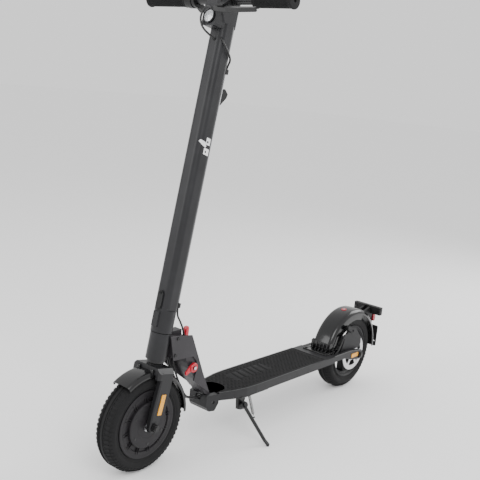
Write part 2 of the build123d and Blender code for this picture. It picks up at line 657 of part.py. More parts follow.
def make_neck():
    """Head tube, neck casting, side plates, screws and headset bearings."""
    height = head_end - head_start
    tube = on_stem(Pos(0, 0, head_start + height / 2) * Cylinder(head_radius, height))
    bore = on_stem(Pos(0, 0, head_start + height / 2) * Cylinder(headset_radius, height + 2))
    save("head_tube", tube - bore)
    core = side_plate([(852, 343), (790, 331), (740, 215), (708, 163), (722, 166), (760, 207),
                       (788, 244), (798, 262), (806, 284), (858, 288)], -neck_plate_inner, neck_plate_inner)
    core += side_plate([(681, 134), (690, 148), (708, 163), (722, 166), (713, 154), (706, 150),
                        (706, 129)], -knuckle_outer, knuckle_outer)
    core += cross_rod((fold_x, fold_z), (-knuckle_outer, knuckle_outer), knuckle_radius)
    core -= block((660, 740), (-knuckle_inner, knuckle_inner), (100, 163))
    core -= on_stem(Pos(0, 0, 200) * Cylinder(head_radius, 200))
    core -= cross_rod((fold_x, fold_z), (-60, 60), fold_pin_radius + running)
    core += block((806, 840), (-16, 7), (333, 349))
    core -= rod((799.5, 12, 296), (803.5, 12, 352), housing_diameter / 2 + 2.1)
    for route, diameter in ((brake_loop, housing_diameter), (harness_loop, harness_diameter)):
        run = Vector(*route[0]) - Vector(*route[1])
        core -= rod(route[1], tuple(Vector(*route[0]) + run * 0.2), diameter / 2 + cable_clearance)
    core += cross_rod(lever_pivot, (neck_plate_inner - 6, plate_outer + 10), 3.5)
    core += cross_rod(lever_pivot, (plate_outer + 8.6, plate_outer + 10.5), 5)
    core += cross_rod(lever_pivot, (neck_plate_inner - 10, neck_plate_inner + 0.2), 9)
    core -= tab_space()
    core += cross_rod(tab_pivot, (-13, 13), 2.5)
    save("neck_core", core)
    plates = []
    right = [(866, 346), (789, 336), (735, 219), (705, 159), (782, 216), (846, 272)]
    left = [(866, 346), (789, 336), (735, 219), (705, 159), (770, 207), (764, 232), (766, 262),
            (780, 277), (852, 280)]
    plates.append(side_plate(left, neck_plate_inner, plate_outer))
    plates.append(side_plate(right, -plate_outer, -neck_plate_inner))
    save("neck_plates", plates)
    screws = []
    for x, z in ((840, 336), (846, 293)):
        for side in (-1, 1):
            screws.append(bolt_y(x, side * plate_outer, z, side))
    save("neck_screws", screws)
    rings = []
    for low, high in ((crown_top + 6, head_start + 5), (head_end - 12, head_end + 1)):
        ring = Pos(0, 0, (low + high) / 2) * Cylinder(headset_radius, high - low)
        ring -= Pos(0, 0, (low + high) / 2) * Cylinder(steerer_radius + running, high - low + 2)
        rings.append(on_stem(ring))
    save("headset_bearings", rings)


lever_pivot = (780.0, 248.0)
lever_boss_radius = 13.0
tab_pivot = (783.0, 314.0)


def tab_space():
    """Slot in the top of the neck for the release tab."""
    return block((766, 800), (-8, 8), (306, 350))


def make_latches():
    """Red safety lever on the left plate and red release tab on the neck's top."""
    lever = cross_rod(lever_pivot, (plate_outer + 0.5, plate_outer + 8.5), lever_boss_radius)
    arm = [(772, 240), (792, 237), (805, 231), (808, 240), (790, 257)]
    lever += side_plate(arm, plate_outer + 0.5, plate_outer + 5)
    lever -= cross_rod(lever_pivot, (plate_outer, plate_outer + 10), 3.5 + running)
    save("latch_lever", lever)
    tab = side_plate([(778, 311), (788, 311), (788, 330), (786, 349), (776, 350), (777, 330)], -6, 6)
    tab += cross_rod(tab_pivot, (-6, 6), 6)
    tab -= cross_rod(tab_pivot, (-14, 14), 2.5 + running)
    save("release_tab", tab)


# ---- stem and handlebar -------------------------------------------------------------------------
lens_lean = 6.0
lens_a = 54.0
lens_t = 1001.0
lens_radius = 15.0
lamp_half_width = 21.0
lamp_low = 979.0
lamp_high = 1034.0
upper_clip = 889.0
lower_clip = 300.0
wire_y = 11.0
wire_a = -stem_depth / 2 - 5
port_t = 312.0
port_half_height = 22.0
port_half_width = 9.0
port_pivot = (stem_depth / 2 + 2.4, port_t - port_half_height + 1)
port_knuckle_half = 6.5
port_pin_radius = 0.8


def stem_profile(low, high, grow=0.0):
    """Rounded-rectangle length of stem between two places along the steering axis."""
    section = RectangleRounded(stem_depth + grow, stem_width + grow, stem_corner + grow / 2)
    return Pos(0, 0, low) * extrude(section, high - low)


front_loop = [(75, 22, 1013), (70, 8, 1020), (65, -8, 1019), (62.5, -19, 1004), (62, -19, 988),
              (58, -10, 971), (42, 0, 960), (22, 4, 953)]
side_run = [(19, 14, 964), (15.5, 27.5, 948), (-4, 28.5, 932), (-23, 25, 918), (wire_a, 14, 906),
            (wire_a, wire_y, upper_clip + 6), (wire_a, wire_y, upper_clip - 6)]


def make_stem():
    """Collar, stem tube, battery, head piece, folding hook and cable clips."""
    height = collar_end - head_end - 2
    collar = Pos(0, 0, head_end + 2 + height / 2) * Cylinder(collar_radius, height)
    collar += block((20, 31.5), (-9, 9), (head_end + 16, collar_end - 4))
    collar -= Pos(0, 0, head_end + 2 + height / 2) * Cylinder(steerer_radius, height + 4)
    save("stem_collar", on_stem(collar))
    tube = stem_profile(collar_end, joint_line) - stem_profile(collar_end - 1, joint_line + 1, -2 * stem_wall)
    port = Pos(stem_depth / 2, 0, port_t) * Rot(0, 90, 0) * Cylinder(4, 20)
    for side in (-1, 1):
        ear_y = sorted((side * (port_knuckle_half + free_gap), side * (port_knuckle_half + free_gap + 1.5)))
        ear = block((stem_depth / 2 - 0.5, port_pivot[0]), ear_y, (port_pivot[1] - 2, port_pivot[1] + 2))
        tube += ear + cross_rod(port_pivot, ear_y, 2)
    tube += cross_rod(port_pivot, (-port_knuckle_half - free_gap, port_knuckle_half + free_gap), port_pin_radius)
    save("stem_tube", on_stem(tube - port))
    battery = block((-17, 17), (-16, 16), (collar_end + 60, collar_end + 460))
    save("battery", on_stem(fillet(battery.edges().filter_by(Axis.Z), 4)))
    half = stem_width / 2
    body = side_plate([(-25, 990), (25, 990), (42, 1016), (54, 1030), (57, 1056), (52, head_top),
                       (-16, head_top), (-25, 1058)], -half, half)
    body = chamfer(body.edges().filter_by_position(Axis.Y, half - 0.1, half + 0.1), 6)
    body = chamfer(body.edges().filter_by_position(Axis.Y, -half - 0.1, 0.1 - half), 6)
    lamp = block((0, lens_a), (-lamp_half_width, lamp_half_width), (lamp_low, lamp_high))
    lamp = fillet(lamp.edges().filter_by(Axis.X), 7)
    body += lamp + stem_profile(joint_line, 1004)
    body -= cross_rod((bar_reach, bar_height), (-40, 40), bar_radius)
    lens_seat = Pos(lens_a, 0, lens_t) * Rot(0, 90 - lens_lean, 0) * Cylinder(lens_radius, 12)
    body -= lens_seat
    for hole_start, hole_end in ((front_loop[-2], front_loop[-1]), (side_run[0], side_run[1])):
        reach = Vector(*hole_end) - Vector(*hole_start)
        start = tuple(Vector(*hole_start) - reach * 0.2)
        end = tuple(Vector(*hole_end) + reach * 0.2)
        body -= rod(start, end, housing_diameter / 2 + cable_clearance)
    save("stem_head", on_stem(body))
    lens = Pos(lens_a, 0, lens_t) * Rot(0, 90 - lens_lean, 0) * (Pos(0, 0, -1) * Cylinder(lens_radius, 9))
    save("headlight_lens", on_stem(lens))
    hook = side_plate([(-25, 846), (-47, 850), (-60, 840), (-57, 829), (-40, 808), (-25, 806)],
                      -hook_half, hook_half)
    save("folding_hook", on_stem(hook))
    clips = []
    for place in (upper_clip, lower_clip):
        clip = block((-stem_depth / 2 - 9, -stem_depth / 2), (wire_y - 5, wire_y + 5), (place - 6, place + 6))
        clip -= Pos(wire_a, wire_y, place) * Cylinder(housing_diameter / 2 + cable_clearance, 14)
        clips.append(on_stem(clip))
    save("cable_clips", clips)


def make_cockpit():
    """Handlebar, grips, display, throttle and brake lever."""
    centre = (bar_reach, bar_height)
    save("handlebar", on_stem(cross_rod(centre, (-bar_half + 4, bar_half - 4), bar_radius)))
    grips = []
    for low, high in ((grip_left_start, bar_half), (-bar_half, -grip_right_start)):
        grip = cross_rod(centre, (low, high), grip_radius)
        for flange in (low, high - 5):
            grip += cross_rod(centre, (flange, flange + 5), grip_radius + 1.5)
        bore = (low - 1, high - 4) if low > 0 else (low + 4, high + 1)
        grips.append(on_stem(grip - cross_rod(centre, bore, bar_radius)))
    save("grips", grips)
    screen = block((-14, 52), (-24, 24), (head_top, head_top + 8))
    screen = fillet(screen.edges().filter_by(Axis.Z), 7)
    screen -= Pos(-4, 0, head_top + 6) * Cylinder(6.5, 8)
    save("display", on_stem(screen))
    button = Pos(-4, 0, head_top + 6.5) * Cylinder(6, 5)
    save("power_button", on_stem(button))
    housing = cross_rod(centre, (-grip_right_start + 0.4, -62), 19) - cross_rod(centre, (-100, -60), bar_radius)
    groove = cross_rod(centre, (-88, -72), 20) - cross_rod(centre, (-90, -70), 15)
    save("throttle_housing", on_stem(housing - groove))
    paddle = cross_rod(centre, (-87, -73), 20.5) - cross_rod(centre, (-90, -70), 15 + running)
    tongue = [(20, -6), (21, 2), (2, -4), (-6, -16), (0, -20), (14, -14)]
    tongue = side_plate([(a, bar_height + rise) for a, rise in tongue], -87, -73)
    tongue -= cross_rod(centre, (-90, -70), 15 + running)
    save("throttle_lever", on_stem(paddle + tongue))


lever_reach = 42.0
lever_drop = 40.6           # brake lever plane below the forward direction
lever_y = 50.0
drop = radians(lever_drop)
lever_plane = Plane(
    origin=(bar_reach + lever_reach * cos(drop), lever_y, bar_height - lever_reach * sin(drop)),
    x_dir=(cos(drop), 0, -sin(drop)),
    z_dir=(sin(drop), 0, cos(drop)),
)
blade_half = 5.0


def make_brake_lever():
    """Clamp with its pivot pin, and the lever blade."""
    outline = [(-7, -22), (6, -24), (9, -8), (13, 20), (13, 62), (10, 108), (3, 108), (4, 62),
               (1, 20), (-7, 8)]
    blade = extrude(make_face(Polyline(*outline, close=True)), blade_half, both=True)
    blade = fillet(blade.edges().filter_by(Axis.Z).sort_by(Axis.Y)[-2:], 3)
    blade -= Cylinder(3 + running, 20)
    save("brake_lever", on_stem(lever_plane.location * blade))
    centre = (bar_reach, bar_height)
    ring = cross_rod(centre, (lever_y - 12, lever_y + 12), 17)
    gap = blade_half + free_gap
    cheeks = block((-34, 7), (-9, 9), (-gap - 4, gap + 4)) - block((-11, 30), (-40, 40), (-gap, gap))
    cheeks += block((-26, -11), (-12, 9), (-gap, gap))
    pin = Cylinder(3, 2 * gap + 8)
    bracket = ring + lever_plane.location * (cheeks + pin)
    bracket -= cross_rod(centre, (0, 100), bar_radius)
    save("brake_bracket", on_stem(bracket))


def make_port_cover():
    """Oval rubber cover over the charging socket, hinged at its lower end."""
    section = SlotOverall(2 * port_half_height, 2 * port_half_width)
    cover = Pos(port_pivot[0] - 2, 0, port_t) * Rot(0, 90, 0) * extrude(section, 4)
    cover += cross_rod(port_pivot, (-port_knuckle_half, port_knuckle_half), 2)
    cover -= cross_rod(port_pivot, (-port_half_width, port_half_width), port_pin_radius + running)
    save("port_cover", on_stem(cover))


def make_fork_reflectors():
    """Long reflectors on the outer faces of the fork legs."""
    strip = make_face(Polyline((-9, leg_outer, 82), (4, leg_outer, 82), (7.5, leg_outer, 30),
                               (-5.5, leg_outer, 30), close=True))
    strip = extrude(strip, 1.6, dir=(0, 1, 0))
    save("fork_reflectors", mirrored(on_stem(strip)))


# ---- cables -------------------------------------------------------------------------------------
def make_cables():
    """Brake cable from lever to caliper, and the motor harness in the neck."""
    wire_from, wire_to = lower_clip + 6, upper_clip - 6
    wire = rod(stem_point(wire_a, wire_y, wire_from), stem_point(wire_a, wire_y, wire_to),
               wire_diameter / 2)
    loops = [on_stem(cord(route, housing_diameter)) for route in (front_loop, side_run)]
    save("brake_cable", [*loops, wire])
    lower = [stem_point(wire_a, wire_y, lower_clip + 6), stem_point(wire_a, wire_y, lower_clip - 22),
             (818, 12, 372), (806, 12, 350), (800, 12, 326), (800, 12, 302)]
    save("brake_housing_lower", cord(lower, housing_diameter))
    save("brake_housing_loop", cord(brake_loop, housing_diameter))
    save("harness_loop", cord(harness_loop, harness_diameter))
    rear_run = [(612, 5, 138.6), (584, 5, 138.6), (556, 22, 136.6), (520, 42, 135.6), (470, 52, 135.2),
                (405, 53, 135.5), (340, 52.5, 135), (275, 51, 135.4), (215, 50, 136.4), (168, 49, 138),
                (132, 49, 142), (110, 49.5, 156), (96, 50, 176), (88, 50.5, housing_stop)]
    save("brake_housing_deck", cord(rear_run, housing_diameter))


def main():
    """Build every piece and write it."""
    os.makedirs("parts", exist_ok=True)
    make_rear_wheel()
    make_front_wheel()
    make_motor_core()
    make_fork()
    make_front_fender()
    make_rear_fender()
    make_latch_bar()
    make_plate_holder()
    make_frame_screws()
    make_deck()
    make_hinge_block()
    make_rear_arms()
    make_rear_axle()
    make_caliper()
    make_controller()
    make_kickstand()
    make_neck()
    make_latches()
    make_stem()
    make_cockpit()
    make_brake_lever()
    make_port_cover()
    make_fork_reflectors()
    make_cables()


main()
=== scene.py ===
"""Electric kick scooter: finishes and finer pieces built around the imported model."""
import json
import logging
import math
from dataclasses import dataclass
from enum import Enum
from typing import Iterable, Sequence

import bmesh
import bpy
from mathutils import Matrix, Vector


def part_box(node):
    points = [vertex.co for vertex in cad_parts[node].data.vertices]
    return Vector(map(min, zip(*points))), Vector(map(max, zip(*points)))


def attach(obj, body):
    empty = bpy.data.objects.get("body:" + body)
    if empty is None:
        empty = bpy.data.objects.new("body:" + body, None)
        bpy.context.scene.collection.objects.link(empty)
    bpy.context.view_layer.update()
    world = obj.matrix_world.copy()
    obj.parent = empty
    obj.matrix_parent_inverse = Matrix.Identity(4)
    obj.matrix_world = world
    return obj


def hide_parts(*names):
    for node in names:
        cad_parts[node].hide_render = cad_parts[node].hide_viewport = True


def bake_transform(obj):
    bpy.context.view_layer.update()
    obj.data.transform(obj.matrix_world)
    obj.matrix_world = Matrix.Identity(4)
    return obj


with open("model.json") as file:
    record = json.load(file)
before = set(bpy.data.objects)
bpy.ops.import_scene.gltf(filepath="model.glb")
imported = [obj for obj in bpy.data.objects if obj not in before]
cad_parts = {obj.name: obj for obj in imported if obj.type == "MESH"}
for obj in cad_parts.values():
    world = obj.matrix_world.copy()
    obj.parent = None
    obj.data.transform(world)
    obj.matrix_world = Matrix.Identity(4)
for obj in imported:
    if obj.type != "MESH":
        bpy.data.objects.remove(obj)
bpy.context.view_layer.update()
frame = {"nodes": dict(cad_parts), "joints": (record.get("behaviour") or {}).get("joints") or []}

MM = 0.001
LOG = logging.getLogger("scooter")
Point = Sequence[float]


# ---- shader building ----------------------------------------------------------------------------
class Value:
    """A number that varies over a surface, with the usual operators."""

    def __init__(self, shader: "Shader", socket: bpy.types.NodeSocket) -> None:
        """Wrap an output socket of a shader's node tree."""
        self.shader = shader
        self.socket = socket

    def _maths(self, operation: str, first: object, second: object) -> "Value":
        """Add a Math node.

        Args:
            operation: the Math node's operation.
            first: a Value or a number.
            second: a Value or a number.

        Returns:
            The node's result.
        """
        node = self.shader.node("ShaderNodeMath", {"operation": operation}, {0: first, 1: second})
        return Value(self.shader, node.outputs[0])

    def __add__(self, other: object) -> "Value":
        """Sum."""
        return self._maths("ADD", self, other)

    def __radd__(self, other: object) -> "Value":
        """Sum, reflected."""
        return self._maths("ADD", other, self)

    def __sub__(self, other: object) -> "Value":
        """Difference."""
        return self._maths("SUBTRACT", self, other)

    def __rsub__(self, other: object) -> "Value":
        """Difference, reflected."""
        return self._maths("SUBTRACT", other, self)

    def __mul__(self, other: object) -> "Value":
        """Product."""
        return self._maths("MULTIPLY", self, other)

    def __rmul__(self, other: object) -> "Value":
        """Product, reflected."""
        return self._maths("MULTIPLY", other, self)

    def __truediv__(self, other: object) -> "Value":
        """Quotient."""
        return self._maths("DIVIDE", self, other)

    def above(self, level: float) -> "Value":
        """One where the value is above a level, and zero elsewhere."""
        return self._maths("GREATER_THAN", self, level)

    def ramp(self, low: float, high: float) -> "Value":
        """Zero at low, one at high, and smooth between."""
        settings = {"interpolation_type": "SMOOTHSTEP"}
        node = self.shader.node("ShaderNodeMapRange", settings,
                                {"Value": self, "From Min": low, "From Max": high})
        return Value(self.shader, node.outputs[0])


class Shader:
    """One material and the nodes in it."""

    def __init__(self, name: str) -> None:
        """Start a material with a Principled shader and Object coordinates."""
        self.material = bpy.data.materials.new(name)
        self.material.use_nodes = True
        self.tree = self.material.node_tree
        self.principled = self.tree.nodes["Principled BSDF"]
        self.place = self.node("ShaderNodeTexCoord").outputs["Object"]

    def node(self, kind: str, settings: dict | None = None, inputs: dict | None = None) -> bpy.types.Node:
        """Add a node.

        Args:
            kind: the node's type.
            settings: its properties, set first; "stops" sets a colour ramp.
            inputs: socket name or number to a Value, a socket or a constant.

        Returns:
            The node.
        """
        node = self.tree.nodes.new(kind)
        for name, setting in (settings or {}).items():
            if name == "stops":
                for element, (place, colour) in zip(node.color_ramp.elements, setting):
                    element.position = place
                    element.color = (*colour, 1.0)
            else:
                setattr(node, name, setting)
        for name, given in (inputs or {}).items():
            self.feed(node.inputs[name], given)
        return node

    def feed(self, target: bpy.types.NodeSocket, given: object) -> None:
        """Link a Value or socket to an input, or set a constant on it."""
        source = given.socket if isinstance(given, Value) else given
        if isinstance(source, bpy.types.NodeSocket):
            self.tree.links.new(source, target)
        else:
            target.default_value = source

    def moved(self, centre: Point = (0, 0, 0), turn: Point = (0, 0, 0),
              size: Point = (1, 1, 1)) -> bpy.types.NodeSocket:
        """Object coordinates about a centre, turned and scaled.

        Args:
            centre: the pattern's middle, in metres.
            turn: the turn of the pattern, in radians.
            size: how much the pattern is stretched along each axis.

        Returns:
            The Mapping node's vector.
        """
        node = self.node("ShaderNodeMapping", {"vector_type": "TEXTURE"},
                         {"Vector": self.place, "Location": tuple(centre), "Rotation": tuple(turn),
                          "Scale": tuple(size)})
        return node.outputs[0]

    def noise(self, size: float, detail: float = 3.0, at: bpy.types.NodeSocket | None = None) -> Value:
        """Cloudy noise.

        Args:
            size: the width of one blotch, in metres.
            detail: how many finer layers it has.
            at: the coordinates, or None for Object coordinates.

        Returns:
            The noise, around one half.
        """
        node = self.node("ShaderNodeTexNoise", None,
                         {"Vector": at or self.place, "Scale": 1 / size, "Detail": detail, "Roughness": 0.6})
        return Value(self, node.outputs[0])

    def cells(self, size: float, feature: str = "F1", at: bpy.types.NodeSocket | None = None) -> Value:
        """Distances in a Voronoi pattern of a given cell size."""
        node = self.node("ShaderNodeTexVoronoi", {"feature": feature},
                         {"Vector": at or self.place, "Scale": 1 / size})
        return Value(self, node.outputs[0])

    def waves(self, size: float, settings: dict, at: bpy.types.NodeSocket | None = None,
              distortion: float = 0.0) -> Value:
        """Bands or rings of a given pitch."""
        node = self.node("ShaderNodeTexWave", settings,
                         {"Vector": at or self.place, "Scale": 0.314 / size, "Distortion": distortion})
        return Value(self, node.outputs["Fac"])

    def blend(self, share: object, first: Sequence[float], second: Sequence[float]) -> bpy.types.NodeSocket:
        """Mix two colours by a share from 0 to 1."""
        node = self.node("ShaderNodeMix", {"data_type": "RGBA"},
                         {0: share, 6: (*first, 1.0), 7: (*second, 1.0)})
        return node.outputs[2]

    def bump(self, height: Value, depth: float, strength: float = 1.0) -> None:
        """Stand the surface up by a height that varies from 0 to 1, times a depth in metres."""
        node = self.node("ShaderNodeBump", None,
                         {"Height": height, "Distance": depth, "Strength": strength})
        self.feed(self.principled.inputs["Normal"], node.outputs[0])

    def set(self, **sockets: object) -> None:
        """Feed sockets of the Principled shader, named with underscores for spaces."""
        for name, given in sockets.items():
            self.feed(self.principled.inputs[name.replace("_", " ")], given)


Colour = tuple[float, float, float]


def darker(colour: Colour, share: float) -> Colour:
    """A colour scaled by a share."""
    return tuple(min(1.0, channel * share) for channel in colour)


@dataclass(frozen=True)
class Paint:
    """Powder coat: fine orange-peel grain, faint dust and slight colour drift."""

    name: str
    colour: Colour
    roughness: float = 0.42
    grain: float = 0.9 * MM
    grain_depth: float = 0.05 * MM
    coat: float = 0.0
    metallic: float = 0.0

    def make(self) -> bpy.types.Material:
        """Build the material."""
        shader = Shader(self.name)
        drift = shader.noise(60 * MM, 4)
        speck = shader.noise(self.grain, 2)
        colour = shader.blend(drift.ramp(0.35, 0.7) * 0.8, self.colour, darker(self.colour, 1.45))
        shader.set(Base_Color=colour, Metallic=self.metallic, Coat_Weight=self.coat, Coat_Roughness=0.15,
                   Specular_IOR_Level=0.3, Roughness=self.roughness + (drift - 0.5) * 0.12 + (speck - 0.5) * 0.1)
        shader.bump(speck, self.grain_depth)
        return shader.material


@dataclass(frozen=True)
class Plastic:
    """Moulded plastic: spark-eroded grain with scuffed, slightly lighter patches."""

    name: str
    colour: Colour
    roughness: float = 0.5
    grain: float = 0.6 * MM
    grain_depth: float = 0.06 * MM

    def make(self) -> bpy.types.Material:
        """Build the material."""
        shader = Shader(self.name)
        pits = shader.cells(self.grain)
        scuff = shader.noise(25 * MM, 6).ramp(0.5, 0.75)
        colour = shader.blend(scuff * 0.35, self.colour, darker(self.colour, 2.0))
        shader.set(Base_Color=colour, Specular_IOR_Level=0.3,
                   Roughness=self.roughness + scuff * 0.12 + (pits - 0.4) * 0.08)
        shader.bump(pits, self.grain_depth)
        return shader.material


@dataclass(frozen=True)
class Lacquer:
    """Glossy moulded plastic: deep reflections with faint flow waviness and hairline scratches."""

    name: str
    colour: Colour
    roughness: float = 0.2

    def make(self) -> bpy.types.Material:
        """Build the material."""
        shader = Shader(self.name)
        flow = shader.noise(45 * MM, 2)
        long = shader.moved(size=(1, 12, 1))
        scratch = shader.noise(0.5 * MM, 2, long).ramp(0.66, 0.74)
        shader.set(Base_Color=shader.blend(scratch * 0.25, self.colour, darker(self.colour, 3.0)),
                   Roughness=self.roughness + scratch * 0.15 + (flow - 0.5) * 0.06,
                   Specular_IOR_Level=0.35, Coat_Weight=0.25, Coat_Roughness=0.08)
        shader.bump(flow, 0.12 * MM)
        return shader.material


@dataclass(frozen=True)
class Rubber:
    """Moulded rubber: matt, with a dusty bloom and tiny pores."""

    name: str
    colour: Colour
    bloom: Colour
    roughness: float = 0.75
    pore: float = 0.7 * MM

    def make(self) -> bpy.types.Material:
        """Build the material."""
        shader = Shader(self.name)
        dust = shader.noise(30 * MM, 5).ramp(0.42, 0.72)
        pores = shader.noise(self.pore, 2)
        shader.set(Base_Color=shader.blend(dust * 0.55, self.colour, self.bloom),
                   Specular_IOR_Level=0.2, Roughness=self.roughness + dust * 0.12 + (pores - 0.5) * 0.15)
        shader.bump(pores, 0.1 * MM)
        return shader.material


@dataclass(frozen=True)
class Tread:
    """Tyre rubber: fine moulding rings round the axle and a lighter bloom."""

    name: str
    centre: tuple[float, float, float]

    def make(self) -> bpy.types.Material:
        """Build the material."""
        shader = Shader(self.name)
        at = shader.moved(self.centre)
        rings = shader.waves(1.6 * MM, {"wave_type": "RINGS", "rings_direction": "Y"}, at)
        dust = shader.noise(22 * MM, 5).ramp(0.4, 0.75)
        pores = shader.noise(0.8 * MM, 2)
        shader.set(Base_Color=shader.blend(dust * 0.5, (0.007, 0.007, 0.0075), (0.018, 0.0175, 0.018)),
                   Specular_IOR_Level=0.2, Roughness=0.62 + dust * 0.16)
        shader.bump(rings * 0.35 + pores, 0.12 * MM)
        return shader.material


@dataclass(frozen=True)
class Metal:
    """Turned or brushed metal: grooves round an axis, or along one."""

    name: str
    colour: Colour
    roughness: float = 0.3
    centre: tuple[float, float, float] | None = None
    groove: float = 0.35 * MM

    def make(self) -> bpy.types.Material:
        """Build the material."""
        shader = Shader(self.name)
        if self.centre:
            at = shader.moved(self.centre)
            lines = shader.waves(self.groove, {"wave_type": "RINGS", "rings_direction": "Y"}, at, 0.6)
        else:
            lines = shader.noise(self.groove, 2, shader.moved(size=(1, 14, 1)))
        stain = shader.noise(14 * MM, 4)
        shader.set(Base_Color=shader.blend(stain.ramp(0.45, 0.75) * 0.5, self.colour, darker(self.colour, 0.7)),
                   Metallic=1.0, Roughness=self.roughness + lines * 0.14 + (stain - 0.5) * 0.16)
        shader.bump(lines, 0.03 * MM)
        return shader.material


@dataclass(frozen=True)
class Cast:
    """Painted casting: coarse sand grain under satin paint."""

    name: str
    colour: Colour
    roughness: float = 0.46

    def make(self) -> bpy.types.Material:
        """Build the material."""
        shader = Shader(self.name)
        sand = shader.noise(1.6 * MM, 3)
        drift = shader.noise(35 * MM, 4).ramp(0.35, 0.7)
        shader.set(Base_Color=shader.blend(drift * 0.7, self.colour, darker(self.colour, 1.5)),
                   Specular_IOR_Level=0.25, Roughness=self.roughness + (sand - 0.5) * 0.2 + drift * 0.06)
        shader.bump(sand, 0.12 * MM)
        return shader.material


@dataclass(frozen=True)
class Reflector:
    """Prismatic reflector: small six-sided cells under a clear glossy face, with a faint painted glow from
    emission.
    """

    name: str
    colour: Colour
    cell: float = 2.4 * MM
    # strength of the painted glow: emission that lights the reflector, though it is no lamp
    painted_glow: float = 0.12

    def make(self) -> bpy.types.Material:
        """Build the material."""
        shader = Shader(self.name)
        edge = shader.cells(self.cell, "DISTANCE_TO_EDGE").ramp(0.02, 0.12)
        tone = shader.cells(self.cell)
        colour = shader.blend(edge * 0.75 + tone * 0.25, darker(self.colour, 0.55), self.colour)
        shader.set(Base_Color=colour, Roughness=0.2 + tone * 0.2, Coat_Weight=0.35, Coat_Roughness=0.06,
                   # Emission here is painted glow, not a lamp.
                   Emission_Color=colour, Emission_Strength=self.painted_glow)
        shader.bump(edge, 0.25 * MM)
        return shader.material


@dataclass(frozen=True)
class ClearLens:
    """Clear ribbed lens over a bright bowl."""

    name: str

    def make(self) -> bpy.types.Material:
        """Build the material."""
        shader = Shader(self.name)
        ribs = shader.cells(3.2 * MM, "DISTANCE_TO_EDGE").ramp(0.03, 0.2)
        shader.set(Base_Color=shader.blend(ribs, (0.35, 0.36, 0.38), (0.82, 0.83, 0.85)), Metallic=0.6,
                   Roughness=0.12 + ribs * 0.1, Coat_Weight=1.0, Coat_Roughness=0.03)
        shader.bump(ribs, 0.3 * MM)
        return shader.material


@dataclass(frozen=True)
class Windings:
    """Copper wire packed round steel teeth."""

    name: str

    def make(self) -> bpy.types.Material:
        """Build the material."""
        shader = Shader(self.name)
        wire = shader.waves(0.9 * MM, {"bands_direction": "Y"}, None, 0.4)
        shader.set(Base_Color=shader.blend(wire, (0.25, 0.09, 0.03), (0.7, 0.32, 0.14)), Metallic=0.9,
                   Roughness=0.3 + wire * 0.15)
        shader.bump(wire, 0.3 * MM)
        return shader.material


@dataclass(frozen=True)
class Sheath:
    """Cable sheath: smooth extruded skin with a soft sheen and lay marks."""

    name: str
    colour: Colour = (0.007, 0.007, 0.0075)

    def make(self) -> bpy.types.Material:
        """Build the material."""
        shader = Shader(self.name)
        lay = shader.waves(2.2 * MM, {"bands_direction": "DIAGONAL"}, None, 1.5)
        rub = shader.noise(12 * MM, 4).ramp(0.5, 0.8)
        shader.set(Base_Color=shader.blend(rub * 0.5, self.colour, darker(self.colour, 2.2)),
                   Roughness=0.36 + lay * 0.08 + rub * 0.15)
        shader.bump(lay, 0.05 * MM)
        return shader.material


# ---- mesh building ------------------------------------------------------------------------------
class Joined(Enum):
    """How the wall of a turned piece closes."""

    FULL = 360.0


def steering_place() -> Matrix:
    """Matrix of the steering frame: x forward, y left, z up the stem, origin at axle height."""
    joint = next(entry for entry in frame["joints"] if entry["name"] == "steer")
    up = Vector(joint["axis"]).normalized()
    forward = Vector((0, 1, 0)).cross(up)
    turn = Matrix((forward, (0, 1, 0), up)).transposed().to_4x4()
    return Matrix.Translation(Vector(joint["pos_m"])) @ turn


STEER = steering_place()


def middle(node: str) -> Vector:
    """The centre of a CAD node's box."""
    low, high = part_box(node)
    return (Vector(low) + Vector(high)) / 2


REAR = middle("rear_tyre")
FRONT = middle("front_tyre")


def on_stem(bm: bmesh.types.BMesh) -> None:
    """Move a mesh from the steering frame to the scooter's frame."""
    bmesh.ops.transform(bm, matrix=STEER, verts=bm.verts)


def bevelled(bm: bmesh.types.BMesh, edges: Iterable[bmesh.types.BMEdge], width: float,
             segments: int = 2) -> None:
    """Round off edges.

    Args:
        bm: the mesh.
        edges: the edges to round.
        width: the bevel's width, in metres.
        segments: faces across the bevel.
    """
    bmesh.ops.bevel(bm, geom=list(edges), offset=width, offset_type="OFFSET", segments=segments,
                    profile=0.5, affect="EDGES", clamp_overlap=True, material=-1)


def sharp_edges(bm: bmesh.types.BMesh, angle: float = 0.5) -> list[bmesh.types.BMEdge]:
    """Edges whose two faces meet at more than an angle, in radians."""
    return [edge for edge in bm.edges if len(edge.link_faces) == 2 and edge.calc_face_angle(0.0) > angle]


def add_box(bm: bmesh.types.BMesh, x: Point, y: Point, z: Point, width: float = 0.0) -> None:
    """Add a box between limits, with rounded edges.

    Args:
        bm: the mesh it is added to.
        x: low and high x.
        y: low and high y.
        z: low and high z.
        width: width of the rounding.
    """
    own = bmesh.new()
    bmesh.ops.create_cube(own, size=1.0)
    size = Vector((x[1] - x[0], y[1] - y[0], z[1] - z[0]))
    bmesh.ops.scale(own, vec=size, verts=own.verts)
    bmesh.ops.translate(own, vec=Vector((sum(x) / 2, sum(y) / 2, sum(z) / 2)), verts=own.verts)
    if width:
        bevelled(own, own.edges, width)
    merge(bm, own)


